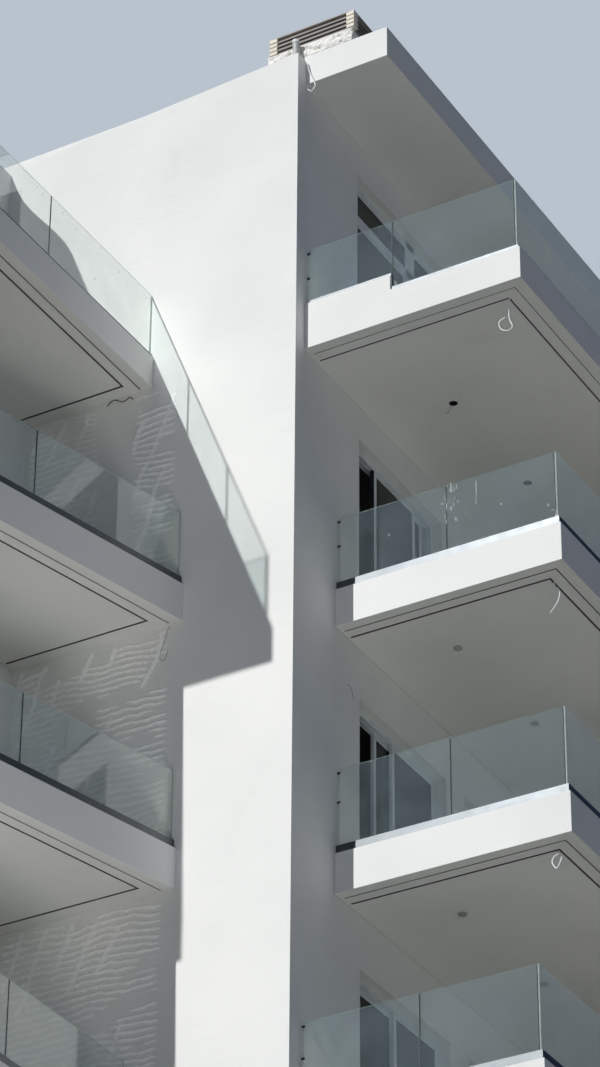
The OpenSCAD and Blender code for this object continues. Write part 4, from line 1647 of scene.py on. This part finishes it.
@dataclass
class TrowelRidges:
    """Ripples that the trowel left in the plaster of the gable wall, inside the left balconies.

    Each piece is a thin sheet in the wall whose front is pushed out where the ripples are. They
    run nearly level, a hand apart, in patches, and a few strokes lean across them. The painted
    wall above has the same, much fainter.
    """

    cell: Pair = (0.025, 0.0125)
    sunk: float = 0.0015
    back: float = 0.01
    proud: float = 0.022
    spacing: float = 0.078
    gaps: dict = field(default_factory=lambda: {7: (-2.46, -1.98)})
    lean: float = 22.0
    edge: float = 0.12
    slope: float = 0.04
    crest_w: float = 0.14
    warp: Pair = (0.9, 0.25)
    level_gate: Pair = (-0.42, -0.05)
    stroke_spacing: float = 0.27
    stroke_w: float = 0.045
    stroke_sway: float = 0.3
    stroke_gate: Pair = (-0.1, 0.1)
    patch_gate: Pair = (-0.5, -0.4)
    crest_low: float = 0.45
    grain: Pair = (0.06, 0.14)
    gap_bend: float = 0.06
    gap_fade: float = 0.01
    clear: float = 0.01
    outer: float = -1.42
    under: float = 0.004
    crest_highlight_share: float = 0.2
    seed_step: float = 7.3
    top: tuple[Pair, ...] = ((-2.7, 26.8), (-1.1, 28.7))
    top_proud: float = 0.0035
    top_seed: float = 3.1

    def height(self, x: float, z: float, seed: float) -> float:
        """Height of the ripples, from 0 to 1.

        Args:
            x: place across the wall.
            z: place up the wall.
            seed: which of many patterns it is.

        Returns:
            The height as a share of the greatest.
        """
        warp = (self.warp[0] * Layer.WARP.at(x, z, seed)
                + self.warp[1] * Layer.TREMBLE.at(x, z, seed))
        level = self.crest((z + self.slope * x) / self.spacing + warp, self.crest_w)
        level *= self.gate(Layer.LEVEL.at(x, z, seed), *self.level_gate)
        tilt = math.radians(self.lean)
        across = x * math.cos(tilt) - z * math.sin(tilt)
        along = x * math.sin(tilt) + z * math.cos(tilt)
        sway = self.stroke_sway * Layer.SWAY.at(x, z, seed)
        stroke = self.crest(across / self.stroke_spacing + sway, self.stroke_w)
        stroke *= self.gate(Layer.STROKE.at(across, along, seed), *self.stroke_gate)
        fine = 0.5 + 0.5 * Layer.FINE.at(x, z, seed)
        level *= self.crest_low + self.crest_low * fine
        grain = self.grain[0] + self.grain[1] * fine
        patch = self.gate(Layer.PATCH.at(x, z, seed), *self.patch_gate)
        return patch * max(level, stroke, grain)

    @staticmethod
    def crest(turn: float, width: float) -> float:
        """A narrow rounded crest once in every turn."""
        off = (turn % 1.0 - 0.5) / width
        return math.exp(-off * off / 2)

    @staticmethod
    def gate(value: float, low: float, high: float) -> float:
        """0 under a low value, 1 over a high one and smooth between."""
        t = min(1.0, max(0.0, (value - low) / (high - low)))
        return t * t * (3 - 2 * t)

    def sheet(self, low: Pair, high: Pair, proud: float, seed: float,
              gap: Pair = (0.0, 0.0)) -> Form:
        """Makes one sheet of ripples.

        Args:
            low: lowest X and Z.
            high: highest X and Z.
            proud: how far the ripples stand out of the wall.
            seed: which of many patterns it has.
            gap: a stretch of X that was smoothed.

        Returns:
            The sheet.
        """
        size = (high[0] - low[0], high[1] - low[1])
        Form.alone()
        bpy.ops.mesh.primitive_grid_add(x_subdivisions=round(size[0] / self.cell[0]),
                                        y_subdivisions=round(size[1] / self.cell[1]), size=1)
        middle = Vector(((low[0] + high[0]) / 2, self.back, (low[1] + high[1]) / 2))
        form = Form.taken().shift(Matrix.Translation(middle) @ Matrix.Rotation(-math.pi / 2, 4, "X")
                                  @ Matrix.Diagonal((*size, 1, 1)))
        form.pick("FACE")
        form.extrude((0, self.sunk - self.back, 0))
        form.pick("FACE", lambda middle, normal: middle.y > self.back - NEAR)
        bpy.ops.mesh.dissolve_faces()
        bpy.ops.mesh.select_all(action="SELECT")
        bpy.ops.mesh.normals_make_consistent(inside=False)
        Form.alone(form.made)
        for vertex in form.made.data.vertices:
            x, y, z = vertex.co
            if y < self.sunk + NEAR:
                side = min(x - low[0], high[0] - x, z - low[1], high[1] - z) / self.edge
                bend = self.gap_bend * Layer.GAP.at(x, z, seed)
                free = max(gap[0] - x, x - gap[1]) - bend if gap[0] < gap[1] else 1.0
                vertex.co.y -= (proud + self.sunk) * self.height(x, z, seed) * self.gate(
                    side, 0.0, 1.0) * self.gate(free, -self.gap_fade, self.gap_fade)
        return form.smooth()

    def build(self) -> None:
        """Makes the ripples of each storey as one piece."""
        for storey in range(1, PLAN.storeys):
            low = (-PLAN.left_set + self.clear, PLAN.floor(storey) + self.clear)
            high = (self.outer, PLAN.slab(storey + 1) - self.under)
            sheet = self.sheet(low, high, self.proud, self.seed_step * storey,
                               self.gaps.get(storey, (0.0, 0.0)))
            # Crests take the whiter plaster, a painted highlight for the light that the ridges catch
            sheet.dress([WHITE_RENDER, BARE_PLASTER_PAINTED_HIGHLIGHT],
                        lambda face: int(face.center.y < -self.crest_highlight_share * self.proud))
            sheet.finish(f"trowel_ridges_{storey}", BARE_PLASTER_PAINTED_HIGHLIGHT)
        sheet = self.sheet(*self.top, self.top_proud, self.top_seed)
        sheet.finish("trowel_ridges_top", WHITE_RENDER)


@dataclass
class GlassMarks:
    """What the fitters left on the glass: white specks and splashes, dark pads and wall clips."""

    specks: Sequence[tuple[float, float, float, float]] = (
        (222, 23937, 11, 10), (341, 23943, 11, 10), (599, 23942, 12, 10), (841, 23947, 11, 9),
        (999, 23923, 11, 10), (613, 23556, 14, 14), (1238, 23737, 14, 16), (1560, 23483, 10, 11),
        (1347, 23937, 12, 9), (1918, 23514, 15, 15), (2536, 23214, 11, 11), (1637, 23800, 5, 210),
        (1632, 23640, 4, 90), (2449, 23327, 8, 40), (2500, 23250, 36, 7), (2534, 23178, 11, 34))
    pads: Sequence[Pair] = (
        (-2282, 26889), (-2175, 26870), (-1789, 26887), (-1531, 26841), (-1050, 26909),
        (-663, 26842), (-290, 26912), (-121, 26846), (-1138, 26435))
    pad: Point = (0.006, 0.012, 0.014)
    pad_storey: int = 8
    speck_storey: int = 7
    speck_t: float = 0.003
    splash_count: int = 26
    splash_x: Pair = (1345, 38)
    splash_z: Pair = (23470, 23940)
    splash_w: Pair = (2.5, 5)
    splash_h: Pair = (20, 90)
    clip_storeys: Sequence[int] = (8, 7, 6, 5)
    clips: Sequence[float] = (0.05, 0.43)
    clip_out: float = 0.034
    clip_t: float = 0.004
    clip_h: float = 0.016
    clip_arris: float = 0.002
    seed: int = 3

    def splashes(self) -> Iterator[tuple[float, float, float, float]]:
        """Thin runs of cement water beside a joint, in millimetres.

        Returns:
            Place across and up, width and height of each.
        """
        dice = random.Random(self.seed)
        for _ in range(self.splash_count):
            yield (dice.gauss(*self.splash_x), dice.uniform(*self.splash_z),
                   dice.uniform(*self.splash_w), dice.uniform(*self.splash_h))

    def build(self) -> None:
        """Makes the white marks and the dark ones."""
        rail = Balustrade(Wing.RIGHT, self.speck_storey)
        plane = PLAN.side(self.speck_storey) + rail.glass_in
        white = [Form.lump((x / 1000, plane, z / 1000), (w / 1000, self.speck_t, h / 1000))
                 for x, z, w, h in (*self.specks, *self.splashes())]
        Form.join(white).smooth().finish("glass_specks", SPECK)
        rail = Balustrade(Wing.LEFT, self.pad_storey)
        front = PLAN.edge(Wing.LEFT, self.pad_storey, rail.glass_in)[1].x
        dark = [Form.lump((front, y / 1000, z / 1000), self.pad) for y, z in self.pads]
        for storey in self.clip_storeys:
            rail = Balustrade(Wing.RIGHT, storey)
            y = PLAN.side(storey) + rail.glass_in
            for share in self.clips:
                z = rail.glass_top - share * (rail.glass_top - rail.channel_top)
                clip = Form.block(
                    (0.0, y - self.clip_t, z - self.clip_h / 2),
                    (self.clip_out, y + rail.glass_t + self.clip_t, z + self.clip_h / 2))
                dark.append(clip.soften(self.clip_arris))
        Form.join(dark).smooth().finish("glass_pads_clips", RUBBER)


# Camera, light and stage


@dataclass(frozen=True)
class View:
    """Camera, floor, world and lamps, as the photograph was taken."""

    place: Point = (21.0535, -31.010, 1.589)
    yaw: float = 30.2
    pitch: float = 33.359
    roll: float = 0.475
    focal_px: float = 3857.7
    image_h: float = 1067.0
    sensor: float = 36.0
    sight: float = 2000.0
    sun_way: Point = (0.2547, 1.0, -0.6468)
    sun_power: float = 3.15
    sun_width: float = 0.5
    fill: float = 0.155
    fill_tint: str = "97B8F0"
    street: Point = (4.5, -17.3, 1.2)
    street_aim: Point = (-3.4, -2.0, 20.8)
    street_power: float = 9500.0
    street_cone: float = 20.0
    street_size: float = 2.6
    street_tint: str = "FAF8F4"
    back: str = "B9C3CE"
    floor_half: float = 300.0
    floor_seen: str = "F4F3F0"
    floor_bounce: str = "AEACA6"
    floor_roughness: float = 0.9

    def camera(self) -> None:
        """Sets up the camera at the photograph's place, direction and field of view."""
        yaw, pitch, roll = (math.radians(a) for a in (self.yaw, self.pitch, self.roll))
        level = Vector((-math.sin(yaw), math.cos(yaw), 0))
        side = Vector((math.cos(yaw), math.sin(yaw), 0))
        ahead = math.cos(pitch) * level + math.sin(pitch) * UP
        above = -math.sin(pitch) * level + math.cos(pitch) * UP
        right = math.cos(roll) * side + math.sin(roll) * above
        up = -math.sin(roll) * side + math.cos(roll) * above
        data = bpy.data.cameras.new("view")
        data.sensor_width = self.sensor
        data.lens = self.focal_px / self.image_h * self.sensor
        data.clip_end = self.sight
        made = link("view", data)
        turn = Matrix((right, up, -ahead)).transposed().to_4x4()
        made.matrix_world = Matrix.Translation(self.place) @ turn
        bpy.context.scene.camera = made

    @staticmethod
    def lamp(data: bpy.types.Light, way: Vector) -> bpy.types.Object:
        """Adds a lamp that shines one way.

        Args:
            data: the lamp's data.
            way: the way that it shines.

        Returns:
            The lamp.
        """
        made = link(data.name, data)
        made.rotation_euler = way.to_track_quat("-Z", "Y").to_euler()
        return made

    def light(self) -> None:
        """Adds the sun, a soft lamp for what the street throws back up, and an even world."""
        sun = bpy.data.lights.new("key", "SUN")
        sun.energy = self.sun_power
        sun.angle = math.radians(self.sun_width)
        self.lamp(sun, Vector(self.sun_way))
        street = bpy.data.lights.new("street", "SPOT")
        street.energy = self.street_power
        street.color = linear(self.street_tint)[:3]
        street.spot_size = math.radians(self.street_cone)
        street.spot_blend = 1.0
        street.shadow_soft_size = self.street_size
        way = Vector(self.street_aim) - Vector(self.street)
        self.lamp(street, way).location = PLAN.at(*self.street)
        world = bpy.data.worlds.new("studio")
        bpy.context.scene.world = world
        tree = emptied(world)
        path = add(tree, "LightPath")
        seen = add(tree, "Math", {
            0: path.outputs["Is Camera Ray"], 1: path.outputs["Is Transmission Ray"]
        }, operation="MAXIMUM").outputs[0]
        even = add(tree, "Background", {"Color": linear(self.fill_tint), "Strength": self.fill})
        back = add(tree, "Background", {"Color": linear(self.back), "Strength": 1.0})
        mixed = add(tree, "MixShader", {0: seen, 1: even.outputs[0], 2: back.outputs[0]})
        add(tree, "OutputWorld", {"Surface": mixed.outputs[0]})

    def stage(self) -> None:
        """Lays the plain pale floor."""
        Form.alone()
        bpy.ops.mesh.primitive_plane_add(size=2 * self.floor_half, location=(0, 0, 0))
        floor = bpy.context.active_object
        floor.name = "floor"
        material = bpy.data.materials.new("pale_floor")
        tree = emptied(material)
        seen = add(tree, "LightPath").outputs["Is Camera Ray"]
        colour = add(tree, "Mix", {
            0: seen, 6: linear(self.floor_bounce), 7: linear(self.floor_seen)
        }, data_type="RGBA").outputs[2]
        shader = add(tree, "BsdfPrincipled", {
            "Base Color": colour, "Roughness": self.floor_roughness})
        add(tree, "OutputMaterial", {"Surface": shader.outputs[0]})
        floor.data.materials.append(material)


# Cables


@dataclass(frozen=True)
class CableTail:
    """A cable that hangs out of the building and ends cut off, as the photograph shows."""

    name: str
    node: str
    route_mm: Sequence[Point]
    radius: float = 0.006
    steps: int = 6
    finish: Finish = SHEATH

    def path(self) -> list[Vector]:
        """Smooth path through the route's points, in the row frame.

        Returns:
            The path's points.
        """
        pts = [PLAN.at(*(c / 1000 for c in p)) for p in self.route_mm]
        last = len(pts) - 1
        found = []
        for i in range(last):
            a, b, c, d = pts[max(i - 1, 0)], pts[i], pts[i + 1], pts[min(i + 2, last)]
            for j in range(self.steps):
                t = j / self.steps
                found.append(0.5 * (2 * b + (c - a) * t + (2 * a - 5 * b + 4 * c - d) * t * t
                                    + (3 * b - a - 3 * c + d) * t * t * t))
        return found + [pts[last]]

    def build(self) -> None:
        """Makes the cable as a curve."""
        path = self.path()
        data = bpy.data.curves.new(self.name, "CURVE")
        data.dimensions = "3D"
        data.bevel_depth = self.radius
        data.bevel_resolution = 3
        data.use_fill_caps = True
        spline = data.splines.new("POLY")
        spline.points.add(len(path) - 1)
        for point, place in zip(spline.points, path):
            point.co = (*place, 1)
        data.materials.append(self.finish.built())
        made = link(self.name, data)
        length = sum((b - a).length for a, b in zip(path, path[1:]))
        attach(made, BODY)
        if self.node:
            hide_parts(self.node)
        tuple(path[0])
        log.info("%s: %.3f m", self.name, length)


CABLES = (
    CableTail("roof_cable", "cable_tail_roof", (
        (0, 150, 29640), (30, 150, 29600), (56, 150, 29475), (130, 150, 29270),
        (120, 150, 29215), (80, 150, 29185), (34, 150, 29230), (14, 150, 29295)), steps=5),
    CableTail("soffit_cable_8", "cable_tail_8", (
        (2310, 445, 25700), (2306, 440, 25640), (2300, 440, 25440), (2330, 450, 25330),
        (2280, 450, 25290), (2200, 440, 25330), (2190, 430, 25420), (2260, 430, 25450)), steps=5),
    CableTail("soffit_cable_7", "cable_tail_7", (
        (2344, 1200, 22600), (2360, 1190, 22540), (2420, 1150, 22460), (2436, 1120, 22360),
        (2410, 1100, 22260), (2340, 1100, 22180))),
    CableTail("soffit_cable_6", "cable_tail_6", (
        (2300, 1150, 19500), (2330, 1120, 19470), (2385, 1010, 19384), (2354, 990, 19361),
        (2329, 985, 19324), (2329, 980, 19281), (2350, 980, 19239), (2374, 980, 19218),
        (2396, 985, 19252), (2414, 990, 19291), (2420, 1000, 19340)), steps=3),
    CableTail("facade_wire", "", (
        (-30, 1100, 22030), (4, 1105, 22026), (26, 1118, 22010), (30, 1160, 21975),
        (16, 1200, 21945), (10, 1232, 21925)), 0.002, 5, BLACK_SHEATH),
    CableTail("recess_wire", "", (
        (888, 1842, 25762), (892, 1830, 25700), (900, 1790, 25640), (905, 1760, 25577),
        (905, 1710, 25500), (905, 1656, 25461)), 0.0025, 5, BLACK_SHEATH),
    CableTail("soffit_wire_8", "", (
        (-2024, 20, 25640), (-2024, -8, 25640), (-2064, -12, 25672), (-2088, -10, 25655),
        (-2151, -14, 25637), (-2232, -10, 25692), (-2283, -14, 25697), (-2345, -10, 25652)),
        0.005, 2, BLACK_SHEATH),
    CableTail("soffit_wire_7", "", (
        (-1469, 20, 22560), (-1469, -20, 22556), (-1501, -30, 22413), (-1556, -30, 22249),
        (-1542, -32, 22185), (-1494, -34, 22171), (-1461, -30, 22281)), 0.002, 5, BLACK_SHEATH),
)

# CAD nodes that stay, under the finish that they get
KEPT = {
    WHITE_RENDER: (
        "near_end_wall", "far_end_wall", "right_facade_piers", "right_facade_spandrels",
        "right_top_wall", "left_facade_piers", "left_facade_spandrels", "left_top_wall",
        "back_facade_piers", "back_facade_spandrels"),
    CONCRETE: ("floor_slabs_right", "floor_slabs_left"),
    # The door and window glass is tinted near black as painted shade for the dark rooms behind
    DOOR_GLASS_PAINTED_SHADE: ("door_glass_right", "door_glass_left", "window_glass_back"),
}


def dress_cad_nodes() -> None:
    """Gives every CAD node that stays its material."""
    for finish, names in KEPT.items():
        for name in names:
            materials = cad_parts[name].data.materials
            materials.clear()
            materials.append(finish.built())


def main() -> None:
    """Builds the scene, one sub-assembly after the other."""
    logging.basicConfig(level=logging.INFO, format="%(message)s")
    view = View()
    view.camera()
    for cable in CABLES:
        cable.build()
    view.light()
    view.stage()
    bpy.context.scene.view_settings.view_transform = "Standard"
    dress_cad_nodes()
    SoftenedConcrete().build()
    for wing, storey in PLAN.balconies():
        Balustrade(wing, storey).build()
    for wing in Wing:
        SlidingDoors(wing).build()
    BackWindows(SlidingDoors(Wing.RIGHT)).build()
    for piece in (Chimney, VentPipe, SoffitLights, RoofSheets, FloorTiles, TrowelRidges,
                  GlassMarks):
        piece().build()


if __name__ == "__main__":
    main()
